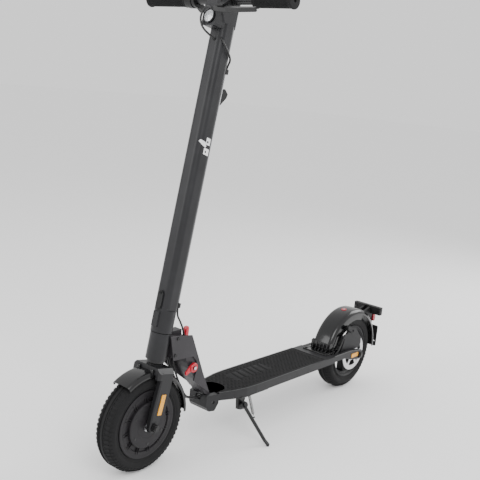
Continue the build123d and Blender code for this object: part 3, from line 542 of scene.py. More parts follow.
def add_rod(bm: bmesh.types.BMesh, start: Point, end: Point, radius: float, sides: int = 24,
            rounding: float = 0.0, end_radius: float | None = None) -> None:
    """Add a round bar between two points.

    Args:
        bm: the mesh it is added to.
        start: one end's centre.
        end: the other end's centre.
        radius: its radius.
        sides: faces round it.
        rounding: width of the rounding at both rims.
        end_radius: radius at the far end, or None for the same.
    """
    own = bmesh.new()
    run = Vector(end) - Vector(start)
    far = radius if end_radius is None else end_radius
    bmesh.ops.create_cone(own, cap_ends=True, segments=sides, radius1=radius, radius2=far, depth=run.length)
    if rounding:
        bevelled(own, sharp_edges(own, 0.9), rounding)
    turn = run.to_track_quat("Z", "Y").to_matrix().to_4x4()
    bmesh.ops.transform(own, matrix=Matrix.Translation((Vector(start) + Vector(end)) / 2) @ turn,
                        verts=own.verts)
    merge(bm, own)


def add_turned(bm: bmesh.types.BMesh, profile: Sequence[Point], centre: Vector, steps: int = 96,
               start: float = 0.0, arc: float = Joined.FULL.value, closed: bool = True) -> None:
    """Turn a profile about an axle along Y.

    Args:
        bm: the mesh it is added to.
        profile: points as (radius, y from the centre).
        centre: the axle's middle.
        steps: steps round the turn.
        start: where the turn begins, in degrees above +X.
        arc: how far it goes, up and over to the rear, in degrees.
        closed: whether the last point joins the first.
    """
    own = bmesh.new()
    angle = math.radians(start)
    along = Vector((math.cos(angle), 0, math.sin(angle)))
    verts = [own.verts.new(centre + along * r + Vector((0, y, 0))) for r, y in profile]
    edges = [own.edges.new(pair) for pair in zip(verts, verts[1:])]
    if closed:
        edges.append(own.edges.new((verts[-1], verts[0])))
    whole = arc == Joined.FULL.value
    if not whole and closed:
        own.faces.new(verts)
    geometry = verts + edges
    spun = bmesh.ops.spin(own, geom=geometry, cent=centre, axis=(0, -1, 0), angle=math.radians(arc),
                          steps=steps, use_merge=whole, use_duplicate=False)
    if not whole and closed:
        last = [item for item in spun["geom_last"] if isinstance(item, bmesh.types.BMVert)]
        own.faces.new(last)
    merge(bm, own)


def pushed_out(bm: bmesh.types.BMesh, faces: Sequence[bmesh.types.BMFace], move: Point) -> None:
    """Extrude faces and move what they became.

    Args:
        bm: the mesh.
        faces: the faces to extrude.
        move: how far the new faces go.
    """
    pushed = bmesh.ops.extrude_face_region(bm, geom=faces)
    moved = [item for item in pushed["geom"] if isinstance(item, bmesh.types.BMVert)]
    bmesh.ops.translate(bm, vec=move, verts=moved)


def add_outline(bm: bmesh.types.BMesh, outline: Sequence[Point], y: Point, width: float = 0.0,
                corner: float = 0.0, segments: int = 2) -> None:
    """Add a plate with an outline in X and Z, between two y limits.

    Args:
        bm: the mesh it is added to.
        outline: points as (x, z).
        y: low and high y.
        width: rounding of the plate's long edges.
        corner: rounding of the outline's corners.
        segments: faces across the edge rounding.
    """
    own = bmesh.new()
    base = own.faces.new([own.verts.new((px, y[0], pz)) for px, pz in outline])
    if corner:
        bmesh.ops.bevel(own, geom=list(own.verts), offset=corner, offset_type="OFFSET", segments=5,
                        profile=0.5, affect="VERTICES", clamp_overlap=True, material=-1)
        base = own.faces[0] if len(own.faces) == 1 else next(iter(own.faces))
    pushed_out(own, [base], (0, y[1] - y[0], 0))
    own.faces.ensure_lookup_table()
    if base.is_valid is False:
        own.faces.new([vert for vert in own.verts if abs(vert.co.y - y[0]) < 1e-7])
    bmesh.ops.recalc_face_normals(own, faces=own.faces)
    if width:
        rims = [edge for edge in own.edges if abs(edge.verts[0].co.y - edge.verts[1].co.y) < 1e-7]
        bevelled(own, rims, width, segments)
    merge(bm, own)


def merge(bm: bmesh.types.BMesh, own: bmesh.types.BMesh) -> None:
    """Copy one mesh into another and free it."""
    bmesh.ops.recalc_face_normals(own, faces=own.faces)
    mesh = bpy.data.meshes.new("part")
    own.to_mesh(mesh)
    own.free()
    bm.from_mesh(mesh)
    bpy.data.meshes.remove(mesh)


def repeat_round(bm: bmesh.types.BMesh, own: bmesh.types.BMesh, centre: Vector, count: int,
                 offset: float = 0.0) -> None:
    """Copy a small mesh round an axle along Y.

    Args:
        bm: the mesh it is added to.
        own: the mesh that repeats; it is freed.
        centre: the axle's middle.
        count: how many copies go round.
        offset: the first copy's turn, in steps.
    """
    mesh = bpy.data.meshes.new("part")
    own.to_mesh(mesh)
    own.free()
    for index in range(count):
        angle = (index + offset) * math.tau / count
        turn = Matrix.Translation(centre) @ Matrix.Rotation(angle, 4, "Y") @ Matrix.Translation(-centre)
        known = len(bm.verts)
        bm.from_mesh(mesh)
        bm.verts.ensure_lookup_table()
        bmesh.ops.transform(bm, matrix=turn, verts=bm.verts[known:])
    bpy.data.meshes.remove(mesh)


@dataclass
class Assembly:
    """A sub-assembly: a body that its pieces ride on, and the finishes they wear."""

    body: str

    def place(self, name: str, bm: bmesh.types.BMesh, finish: bpy.types.Material, slot: str,
              replaced: Sequence[str] = (), smooth: float = 0.6, body: str | None = None,
              ride: bool = True) -> bpy.types.Object:
        """Make an object of a mesh, dress it and set it riding.

        Args:
            name: the piece's name.
            bm: its mesh, which is freed.
            finish: its material.
            slot: the record's material slot it belongs to; not used.
            replaced: CAD nodes that it stands for.
            smooth: edges that turn by less than this angle are shaded smooth.
            body: the body it rides on, or None for the assembly's own.
            ride: whether it rides on its body, rather than being left unattached.

        Returns:
            The object.
        """
        bmesh.ops.remove_doubles(bm, verts=bm.verts, dist=1e-7)
        for face in bm.faces:
            face.smooth = True
        for edge in bm.edges:
            if len(edge.link_faces) == 2 and edge.calc_face_angle(0.0) > smooth:
                edge.smooth = False
        mesh = bpy.data.meshes.new(name)
        bm.to_mesh(mesh)
        bm.free()
        mesh.materials.append(finish)
        piece = bpy.data.objects.new(name, mesh)
        bpy.context.scene.collection.objects.link(piece)
        if ride:
            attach(piece, body or self.body)
        if replaced:
            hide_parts(*replaced)
        LOG.info("%s: %d faces on %s", name, len(mesh.polygons), body or self.body)
        return piece


def tube_mesh(points: Sequence[Point], radius: float, sides: int = 4) -> bmesh.types.BMesh:
    """A round tube along a smooth line.

    Args:
        points: the control points of the line.
        radius: the tube's radius.
        sides: how finely it is rounded, as Blender's bevel resolution.

    Returns:
        The tube's mesh.
    """
    curve = bpy.data.curves.new("route", "CURVE")
    curve.dimensions = "3D"
    curve.bevel_depth = radius
    curve.bevel_resolution = sides
    curve.use_fill_caps = True
    spline = curve.splines.new("NURBS")
    spline.points.add(len(points) - 1)
    for knot, place in zip(spline.points, points):
        knot.co = (*place, 1.0)
    spline.order_u = 3
    spline.use_endpoint_u = True
    spline.resolution_u = 10
    holder = bpy.data.objects.new("route", curve)
    bpy.context.scene.collection.objects.link(holder)
    mesh = bpy.data.meshes.new_from_object(holder)
    bm = bmesh.new()
    bm.from_mesh(mesh)
    bpy.data.objects.remove(holder)
    bpy.data.curves.remove(curve)
    bpy.data.meshes.remove(mesh)
    bmesh.ops.remove_doubles(bm, verts=bm.verts, dist=1e-6)
    bmesh.ops.recalc_face_normals(bm, faces=bm.faces)
    return bm


class Finishes:
    """Every material, made once."""

    def __init__(self) -> None:
        """Build the materials."""
        black = (0.007, 0.007, 0.0075)
        centre_rear, centre_front = tuple(REAR), tuple(FRONT)
        self.frame_paint = Paint("frame_paint", (0.011, 0.011, 0.012), 0.4).make()
        self.stem_paint = Paint("stem_paint", (0.013, 0.013, 0.0145), 0.38, 0.7 * MM, 0.04 * MM).make()
        self.neck_paint = Paint("neck_paint", (0.025, 0.023, 0.026), 0.44, 0.8 * MM, 0.04 * MM).make()
        self.plastic = Plastic("black_plastic", black).make()
        self.smooth_plastic = Plastic("smooth_plastic", (0.008, 0.008, 0.0085), 0.34, 0.5 * MM,
                                      0.02 * MM).make()
        self.gloss = Lacquer("gloss_fender", (0.005, 0.005, 0.0055)).make()
        self.mat_rubber = Rubber("mat_rubber", (0.009, 0.009, 0.0095), (0.022, 0.0215, 0.022)).make()
        self.grip_rubber = Rubber("grip_rubber", (0.007, 0.007, 0.0075), (0.015, 0.015, 0.0155), 0.68).make()
        self.rear_tread = Tread("rear_tread", centre_rear).make()
        self.front_tread = Tread("front_tread", centre_front).make()
        self.cast = Cast("wheel_casting", (0.01, 0.01, 0.011)).make()
        self.cover = Cast("motor_cover", (0.012, 0.011, 0.0125), 0.4).make()
        self.steel = Metal("zinc_steel", (0.62, 0.62, 0.64), 0.26).make()
        self.disc = Metal("brake_disc", (0.66, 0.66, 0.68), 0.22, centre_rear).make()
        self.black_steel = Paint("black_steel", (0.009, 0.009, 0.0095), 0.34, 0.6 * MM, 0.03 * MM, 0.2).make()
        self.red = Paint("red_lever", (0.42, 0.008, 0.022), 0.3, 0.6 * MM, 0.03 * MM, 0.5).make()
        self.amber = Reflector("amber_reflector", (0.95, 0.42, 0.006)).make()
        # the last number is the strength of the red reflector's painted glow from emission
        self.red_glass = Reflector("red_reflector", (0.42, 0.005, 0.02), 2.0 * MM, 0.05).make()
        self.lens = ClearLens("headlight_lens").make()
        self.battery = Lacquer("battery_wrap", (0.02, 0.09, 0.35), 0.3).make()
        self.windings = Windings("windings").make()
        self.sheath = Sheath("cable_sheath").make()
        self.mark = Paint("mark_paint", (0.72, 0.73, 0.74), 0.45).make()


# ---- wheels -------------------------------------------------------------------------------------
@dataclass
class Tyre(Assembly):
    """A pneumatic tyre: rounded body, moulded sidewall rings and tread lugs."""

    centre: Vector
    node: str
    finish: bpy.types.Material
    radius: float = 127 * MM
    half_width: float = 28.5 * MM
    lugs: int = 64
    lug_height: float = 1.9 * MM

    def section(self) -> list[Point]:
        """The tyre's section as (radius, y), from one bead over the crown to the other and back inside."""
        top = self.radius - self.lug_height
        side = [(80.4, 21.6), (89.7, 22.2), (91.5, 23.6), (94.2, 24.6), (95.0, 25.9), (96.6, 26.0),
                (97.6, 25.7),
                (101, 27.4), (105.5, 28.3), (107, 28.5), (108, 28.1), (111.5, 27.6), (115.5, 25.6), (119, 22.6),
                (121.8, 18.8)]
        outer = [(r * MM, y * MM) for r, y in side]
        crown = [(top - 1.0 * MM, 14 * MM), (top - 0.2 * MM, 8.6 * MM), (top, 7.6 * MM),
                 (top - 1.6 * MM, 7.0 * MM),
                 (top - 1.6 * MM, 4.4 * MM), (top, 3.8 * MM), (top + 0.2 * MM, 0)]
        right = outer + crown
        left = [(r, -y) for r, y in reversed(right[:-1])]
        inner = [(80.4 * MM, -16 * MM), (104 * MM, -22 * MM), (117 * MM, -12 * MM), (117 * MM, 12 * MM),
                 (104 * MM, 22 * MM), (80.4 * MM, 16 * MM)]
        return right + left + inner

    def lug(self, side: int, low: Point, high: Point, arc: float) -> bmesh.types.BMesh:
        """One tread block.

        Args:
            side: +1 or -1, the shoulder it is on.
            low: (radius, y) of its base line, from the inside out.
            high: (radius, y) of its top line, from the inside out.
            arc: how far it goes round, in degrees.

        Returns:
            The block's mesh.
        """
        own = bmesh.new()
        outline = [(r * MM, side * y * MM) for r, y in (*low, *reversed(high))]
        add_turned(own, outline, self.centre, 2, 0.0, arc)
        bevelled(own, sharp_edges(own, 0.6), 0.35 * MM, 1)
        return own

    def build(self) -> None:
        """Build the tyre and its tread."""
        bm = bmesh.new()
        add_turned(bm, self.section(), self.centre, 180)
        step = 360 / self.lugs
        for side in (-1, 1):
            shoulder = self.lug(side, ((122.2, 12.2), (118.6, 21.6)), ((126.6, 12.2), (120.9, 23.4)),
                                step * 0.56)
            repeat_round(bm, shoulder, self.centre, self.lugs, 0.25 if side > 0 else 0.75)
            inner = self.lug(side, ((123.6, 8.9), (123.0, 11.2)), ((126.9, 8.9), (126.7, 11.2)), step * 0.72)
            repeat_round(bm, inner, self.centre, self.lugs, 0.6 if side > 0 else 0.1)
            outer = self.lug(side, ((112.5, 26.6), (117.0, 23.8)), ((113.0, 28.1), (118.4, 25.2)), step * 0.42)
            repeat_round(bm, outer, self.centre, self.lugs, 0.3 if side > 0 else 0.8)
        self.place(f"{self.node}_tread", bm, self.finish, "tyre", [self.node])


@dataclass
class MotorHub(Assembly):
    """Dressing of the hub motor: paired ribs in the recess, cover screws and a step ring."""

    finishes: Finishes
    centre: Vector
    rib_pairs: int = 12
    rib_start: float = 60.5 * MM
    rib_end: float = 77.2 * MM
    recess: float = 21.9 * MM
    rib_height: float = 4.6 * MM
    screws: int = 6
    screw_ring: float = 50 * MM

    def build(self) -> None:
        """Build the ribs, rings and screws on both sides."""
        ribs, screws = bmesh.new(), bmesh.new()
        for side in (-1, 1):
            for offset in (-0.09, 0.09):
                own = bmesh.new()
                limits = sorted((side * self.recess, side * (self.recess + self.rib_height)))
                x = self.centre.x
                add_box(own, (x + self.rib_start, x + self.rib_end), limits,
                        (self.centre.z - 0.6 * MM, self.centre.z + 0.6 * MM), 0.3 * MM)
                repeat_round(ribs, own, self.centre, self.rib_pairs, 0.25 + offset)
            step = sorted((side * 30.0 * MM, side * 31.9 * MM))
            ring = [(33 * MM, step[0]), (36 * MM, step[0]), (35.5 * MM, step[1]), (33.5 * MM, step[1])]
            add_turned(ribs, ring, self.centre, 96)
            own = bmesh.new()
            at = self.centre.x + self.screw_ring
            add_rod(own, (at, side * 29.6 * MM, self.centre.z), (at, side * 31.8 * MM, self.centre.z),
                    3.2 * MM, 24, 0.5 * MM)
            repeat_round(screws, own, self.centre, self.screws, 0.5)
        self.place("motor_ribs", ribs, self.finishes.cover, "cast_alloy")
        self.place("motor_cover_screws", screws, self.finishes.black_steel, "black_steel")


@dataclass
class RearHub(Assembly):
    """Dressing of the rear wheel: disc screws and a ribbed edge on each spoke."""

    finishes: Finishes
    centre: Vector
    screw_ring: float = 22 * MM
    screws: int = 5
    spokes: int = 5

    def build(self) -> None:
        """Build the disc screws and the spoke ribs."""
        screws, ribs = bmesh.new(), bmesh.new()
        own = bmesh.new()
        x, z = self.centre.x, self.centre.z
        add_rod(own, (x + self.screw_ring, 39.8 * MM, z), (x + self.screw_ring, 42.2 * MM, z), 2.8 * MM, 6,
                0.3 * MM)
        repeat_round(screws, own, self.centre, self.screws)
        for side in (-1, 1):
            for offset in (-6.5 * MM, 6.5 * MM):
                rib = bmesh.new()
                y = sorted((side * 10.5 * MM, side * 12.6 * MM))
                add_box(rib, (x + 24 * MM, x + 73 * MM), y, (z + offset - 1.1 * MM, z + offset + 1.1 * MM),
                        0.6 * MM)
                repeat_round(ribs, rib, self.centre, self.spokes, 0.25)
        self.place("disc_screws", screws, self.finishes.steel, "steel")
        self.place("spoke_ribs", ribs, self.finishes.cast, "cast_alloy")


# ---- fenders ------------------------------------------------------------------------------------
def shell_section(outer: float, half: float, skirt: float, wall: float, round_off: float) -> list[Point]:
    """A fender's section with rounded shoulders.

    Args:
        outer: radius of its top.
        half: half its width.
        skirt: radius of its lower edge.
        wall: thickness.
        round_off: radius of the shoulders.

    Returns:
        Points as (radius, y), closed.
    """
    turns = [math.radians(angle) for angle in (0, 15, 30, 45, 60, 75, 90)]
    outside = [(outer - round_off * (1 - math.sin(turn)),
                half - round_off * (1 - math.cos(turn))) for turn in turns]
    inside = [(r - wall * math.sin(turn), y - wall * math.cos(turn)) for (r, y), turn in zip(outside, turns)]
    crown = 0.8 * MM
    right = [(skirt, half), *outside, (outer + crown, 0)]
    left = [(r, -y) for r, y in reversed(right[:-1])]
    back = [(skirt, wall - half)] + [(r, -y) for r, y in inside]
    front = [(outer + crown - wall, 0)] + [(r, y) for r, y in reversed(inside)] + [(skirt, half - wall)]
    return right + left + back + front


@dataclass
class FrontFender(Assembly):
    """Glossy arch over the front tyre, in two pieces on the fork's crown."""

    finishes: Finishes
    centre: Vector
    outer: float = 137 * MM
    half: float = 31 * MM
    wall: float = 2.5 * MM
    skirt: float = 124 * MM
    shoulder: float = 11 * MM

    def build(self) -> None:
        """Build both shells and their lugs."""
        bm = bmesh.new()
        section = shell_section(self.outer, self.half, self.skirt, self.wall, self.shoulder)
        for start, arc, steps in ((57, 36, 30), (114, 65, 52)):
            add_turned(bm, section, self.centre, steps, start, arc)
        lugs = bmesh.new()
        for side in (-1, 1):
            y = sorted((side * 19 * MM, side * 29 * MM))
            add_box(lugs, (26.2 * MM, 31 * MM), y, (127 * MM, 140 * MM), 1.2 * MM)
            add_box(lugs, (-31 * MM, -26.2 * MM), y, (122 * MM, 138 * MM), 1.2 * MM)
        on_stem(lugs)
        merge(bm, lugs)
        self.place("front_fender_shell", bm, self.finishes.gloss, "gloss_black", ["front_fender"])


@dataclass
class RearFender(Assembly):
    """Glossy cover over the rear tyre, its ribbed foot on the deck and a round reflector on top."""

    finishes: Finishes
    centre: Vector
    outer: float = 146 * MM
    half: float = 36 * MM
    wall: float = 2.5 * MM
    shoulder: float = 15 * MM
    deck_top: float = 152 * MM
    badge_angle: float = 80.0
    badge_radius: float = 9 * MM

    def build(self) -> None:
        """Build the shell, the foot and the reflector."""
        bm = bmesh.new()
        deep = shell_section(self.outer, self.half, 112 * MM, self.wall, self.shoulder)
        shallow = shell_section(self.outer, self.half, 130 * MM, self.wall, self.shoulder)
        add_turned(bm, deep, self.centre, 72, 20, 88)
        add_turned(bm, shallow, self.centre, 60, 108, 74)
        rear = self.centre.x
        for side in (-1, 1):
            limits = sorted((side * (self.half - self.wall), side * self.half))
            cheek = [(rear + x * MM, z * MM) for x, z in
                     ((144, 152), (144, 180), (134, 183), (103, 166), (96, 159), (98, 152))]
            add_outline(bm, cheek, limits, 0.4 * MM)
            flange = sorted((side * 33.6 * MM, side * 46 * MM))
            add_box(bm, (rear + 98 * MM, rear + 174 * MM), flange, (self.deck_top, self.deck_top + 3 * MM),
                    0.8 * MM)
        add_box(bm, (rear + 143 * MM, rear + 174 * MM), (-self.half, self.half), (self.deck_top, 154.6 * MM),
                0.8 * MM)
        add_box(bm, (rear + 141.5 * MM, rear + 144 * MM), (-self.half, self.half), (self.deck_top, 181 * MM),
                0.8 * MM)
        for y in (-27, -13.5, 0, 13.5, 27):
            rib = [(rear + x * MM, z * MM) for x, z in ((143, 153), (156, 153), (147, 160), (145.5, 178),
                                                        (143, 181))]
            add_outline(bm, rib, ((y - 1.6) * MM, (y + 1.6) * MM), 0.8 * MM)
        self.place("rear_fender_shell", bm, self.finishes.gloss, "gloss_black", ["rear_fender"], 0.7)
        self.badge()

    def badge(self) -> None:
        """Build the round red reflector with its pale centre, seated on the top of the shell."""
        angle = math.radians(self.badge_angle)
        out = Vector((math.cos(angle), 0, math.sin(angle)))
        foot = self.centre + out * (self.outer + 0.2 * MM)
        rim, glass = bmesh.new(), bmesh.new()
        add_rod(rim, foot, foot + out * 1.6 * MM, self.badge_radius, 40, 0.4 * MM)
        add_rod(glass, foot + out * 1.5 * MM, foot + out * 2.0 * MM, self.badge_radius * 0.4, 32, 0.15 * MM)
        self.place("fender_reflector", rim, self.finishes.red_glass, "red_lens")
        self.place("fender_reflector_centre", glass, self.finishes.mark, "clear_lens")


# ---- deck ---------------------------------------------------------------------------------------
@dataclass
class DeckMat(Assembly):
    """Rubber mat with rows of raised dashes, a plain emblem panel and a beaded edge."""

    finishes: Finishes
    rear_axle: float
    start: float = 205.3 * MM
    end: float = 676 * MM
    low: float = 152 * MM
    sheet_top: float = 153.1 * MM
    dash_top: float = 154.2 * MM
    dash: tuple[float, float] = (11 * MM, 3.4 * MM)
    pitch: tuple[float, float] = (15.5 * MM, 7.4 * MM)
    margin: float = 4.5 * MM
    pocket_centre: float = 656 * MM
    pocket_size: tuple[float, float] = (29.5 * MM, 34.6 * MM)
    emblem: tuple[float, float, float, float] = (408 * MM, 556 * MM, -37 * MM, 9 * MM)

    def half_width(self, x: float) -> float:
        """Half the mat's width at a place along the deck."""
        stations = ((0, 63.2), (545, 63.2), (586, 60.2), (626, 52.2), (676, 36.7))
        for (x0, w0), (x1, w1) in zip(stations, stations[1:]):
            if x <= x1 * MM:
                share = max(0.0, (x - x0 * MM) / ((x1 - x0) * MM))
                return (w0 + (w1 - w0) * share) * MM
        return stations[-1][1] * MM

    def pocket_edge(self, y: float) -> float:
        """Where the pocket begins at a distance from the middle."""
        reach = max(0.0, 1 - (y / self.pocket_size[1]) ** 2)
        return self.pocket_centre - self.pocket_size[0] * math.sqrt(reach)

    def free(self, x: float, y: float) -> bool:
        """Whether a dash fits at a place, clear of the edge, the pocket and the emblem."""
        near = abs(x - (self.start + self.end) / 2) < (self.end - self.start) / 2 - 9 * MM
        inside = abs(y) < self.half_width(x + 6 * MM) - self.margin
        clear = abs(y) > self.pocket_size[1] + 3 * MM or x < self.pocket_edge(y) - 9 * MM
        low_x, high_x, low_y, high_y = self.emblem
        panel = low_x - 7 * MM < x < high_x + 7 * MM and low_y - 3 * MM < y < high_y + 3 * MM
        return near and inside and clear and not panel

    def outline(self) -> list[Point]:
        """The mat's outline as (x, y), round the pocket."""
        side = [(self.start, self.half_width(0)), (545 * MM, 63.2 * MM), (586 * MM, 60.2 * MM),
                (626 * MM, 52.2 * MM), (self.end, 36.7 * MM)]
        steps = [math.radians(angle) for angle in range(90, -91, -9)]
        inner = [(self.pocket_centre - self.pocket_size[0] * math.cos(angle),
                  self.pocket_size[1] * math.sin(angle))
                 for angle in steps]
        mouth = [(self.end, self.pocket_size[1]), *inner, (self.end, -self.pocket_size[1])]
        return side + mouth + [(x, -y) for x, y in reversed(side)]

    def build(self) -> None:
        """Build the sheet, its bead, the dashes and the emblem."""
        bm = bmesh.new()
        own = bmesh.new()
        base = own.faces.new([own.verts.new((self.rear_axle + x, y, self.low)) for x, y in self.outline()])
        pushed_out(own, [base], (0, 0, self.sheet_top - self.low))
        bmesh.ops.recalc_face_normals(own, faces=own.faces)
        top = [face for face in own.faces if face.normal.z > 0.9]
        bmesh.ops.inset_region(own, faces=top, thickness=2.2 * MM, depth=0, use_even_offset=True)
        rim = [face for face in own.faces if face.normal.z > 0.9 and face not in top]
        pushed_out(own, rim, (0, 0, 0.8 * MM))
        bmesh.ops.delete(own, geom=rim, context="FACES")
        merge(bm, own)
        self.dashes(bm)
        self.place("deck_mat_pattern", bm, self.finishes.mat_rubber, "rubber", ["deck_mat"])
        self.panel()

    def dashes(self, bm: bmesh.types.BMesh) -> None:
        """Add the raised dashes in staggered rows."""
        rows = int(self.half_width(0) / self.pitch[1])
        count = int((self.end - self.start) / self.pitch[0]) + 1
        for row in range(-rows, rows + 1):
            y = row * self.pitch[1]
            for index in range(count):
                x = self.start + (index + (0.5 if row % 2 else 0.0)) * self.pitch[0]
                if self.free(x, y):
                    at = self.rear_axle + x
                    add_box(bm, (at - self.dash[0] / 2, at + self.dash[0] / 2),
                            (y - self.dash[1] / 2, y + self.dash[1] / 2),
                            (self.sheet_top - 0.3 * MM, self.dash_top), 0.5 * MM)

    def panel(self) -> None:
        """Build the emblem: a plain raised panel of slanted bars."""
        bm = bmesh.new()
        low_x, high_x, low_y, high_y = self.emblem
        bars, slant = 6, 12 * MM
        step = (high_x - low_x - slant) / bars
        for index in range(bars):
            x = self.rear_axle + low_x + index * step
            wide = step * (0.72 if index % 3 else 0.5)
            corners = [(x, low_y), (x + wide, low_y), (x + wide + slant, high_y), (x + slant, high_y)]
            own = bmesh.new()
            base = own.faces.new([own.verts.new((*corner, self.sheet_top - 0.2 * MM)) for corner in corners])
            pushed_out(own, [base], (0, 0, 1.4 * MM))
            bmesh.ops.recalc_face_normals(own, faces=own.faces)
            bevelled(own, [edge for edge in own.edges if edge.verts[0].co.z > self.sheet_top
                           and edge.verts[1].co.z > self.sheet_top], 0.4 * MM)
            merge(bm, own)
        self.place("deck_emblem", bm, self.finishes.grip_rubber, "rubber")


# ---- neck ---------------------------------------------------------------------------------------
@dataclass
class NeckLatches(Assembly):
    """The red safety lever with its knurled boss and bright screw, and the red release tab."""

    finishes: Finishes
    rear_axle: float
    pivot: tuple[float, float] = (780 * MM, 248 * MM)
    plate: float = 31.5 * MM
    knurls: int = 28

    def build(self) -> None:
        """Build the lever and the tab."""
        x, z = self.rear_axle + self.pivot[0], self.pivot[1]
        centre = Vector((x, 0, z))
        lever = bmesh.new()
        boss = [(3.7, 31.6), (12.2, 31.6), (12.6, 32.4), (12.6, 38.0), (11.6, 39.3), (6.4, 39.5), (5.6, 38.4),
                (3.7, 38.4)]
        add_turned(lever, [(r * MM, y * MM) for r, y in boss], centre, 56)
        knurl = bmesh.new()
        add_box(knurl, (x + 12.1 * MM, x + 13 * MM), (32.8 * MM, 38.0 * MM), (z - 0.6 * MM, z + 0.6 * MM),
                0.3 * MM)
        repeat_round(lever, knurl, centre, self.knurls)
        arm = [(self.rear_axle + px * MM, pz * MM) for px, pz in
               ((772, 240), (792, 237), (804, 231), (807, 233), (808, 240), (790, 257))]
        add_outline(lever, arm, (self.plate, 36 * MM), 0.9 * MM)
        self.place("safety_lever", lever, self.finishes.red, "red", ["latch_lever"], body="latch_lever")
        screw = bmesh.new()
        add_rod(screw, (x, 41.3 * MM, z), (x, 42.6 * MM, z), 4.6 * MM, 32, 0.5 * MM)
        self.place("lever_screw", screw, self.finishes.steel, "steel")
        tab = bmesh.new()
        outline = [(self.rear_axle + px * MM, pz * MM) for px, pz in
                   ((778, 311), (788, 311), (788.5, 330), (787, 345), (784, 350), (777.5, 350.5), (776, 345),
                    (777, 330))]
        add_outline(tab, outline, (-6 * MM, 6 * MM), 1.4 * MM, 0.0, 3)
        for height in (336, 340, 344):
            add_box(tab, (self.rear_axle + 775.6 * MM, self.rear_axle + 777.4 * MM), (-4.6 * MM, 4.6 * MM),
                    ((height - 0.8) * MM, (height + 0.8) * MM), 0.4 * MM)
        self.place("release_tab_grip", tab, self.finishes.red, "red", ["release_tab"], body="release_tab")


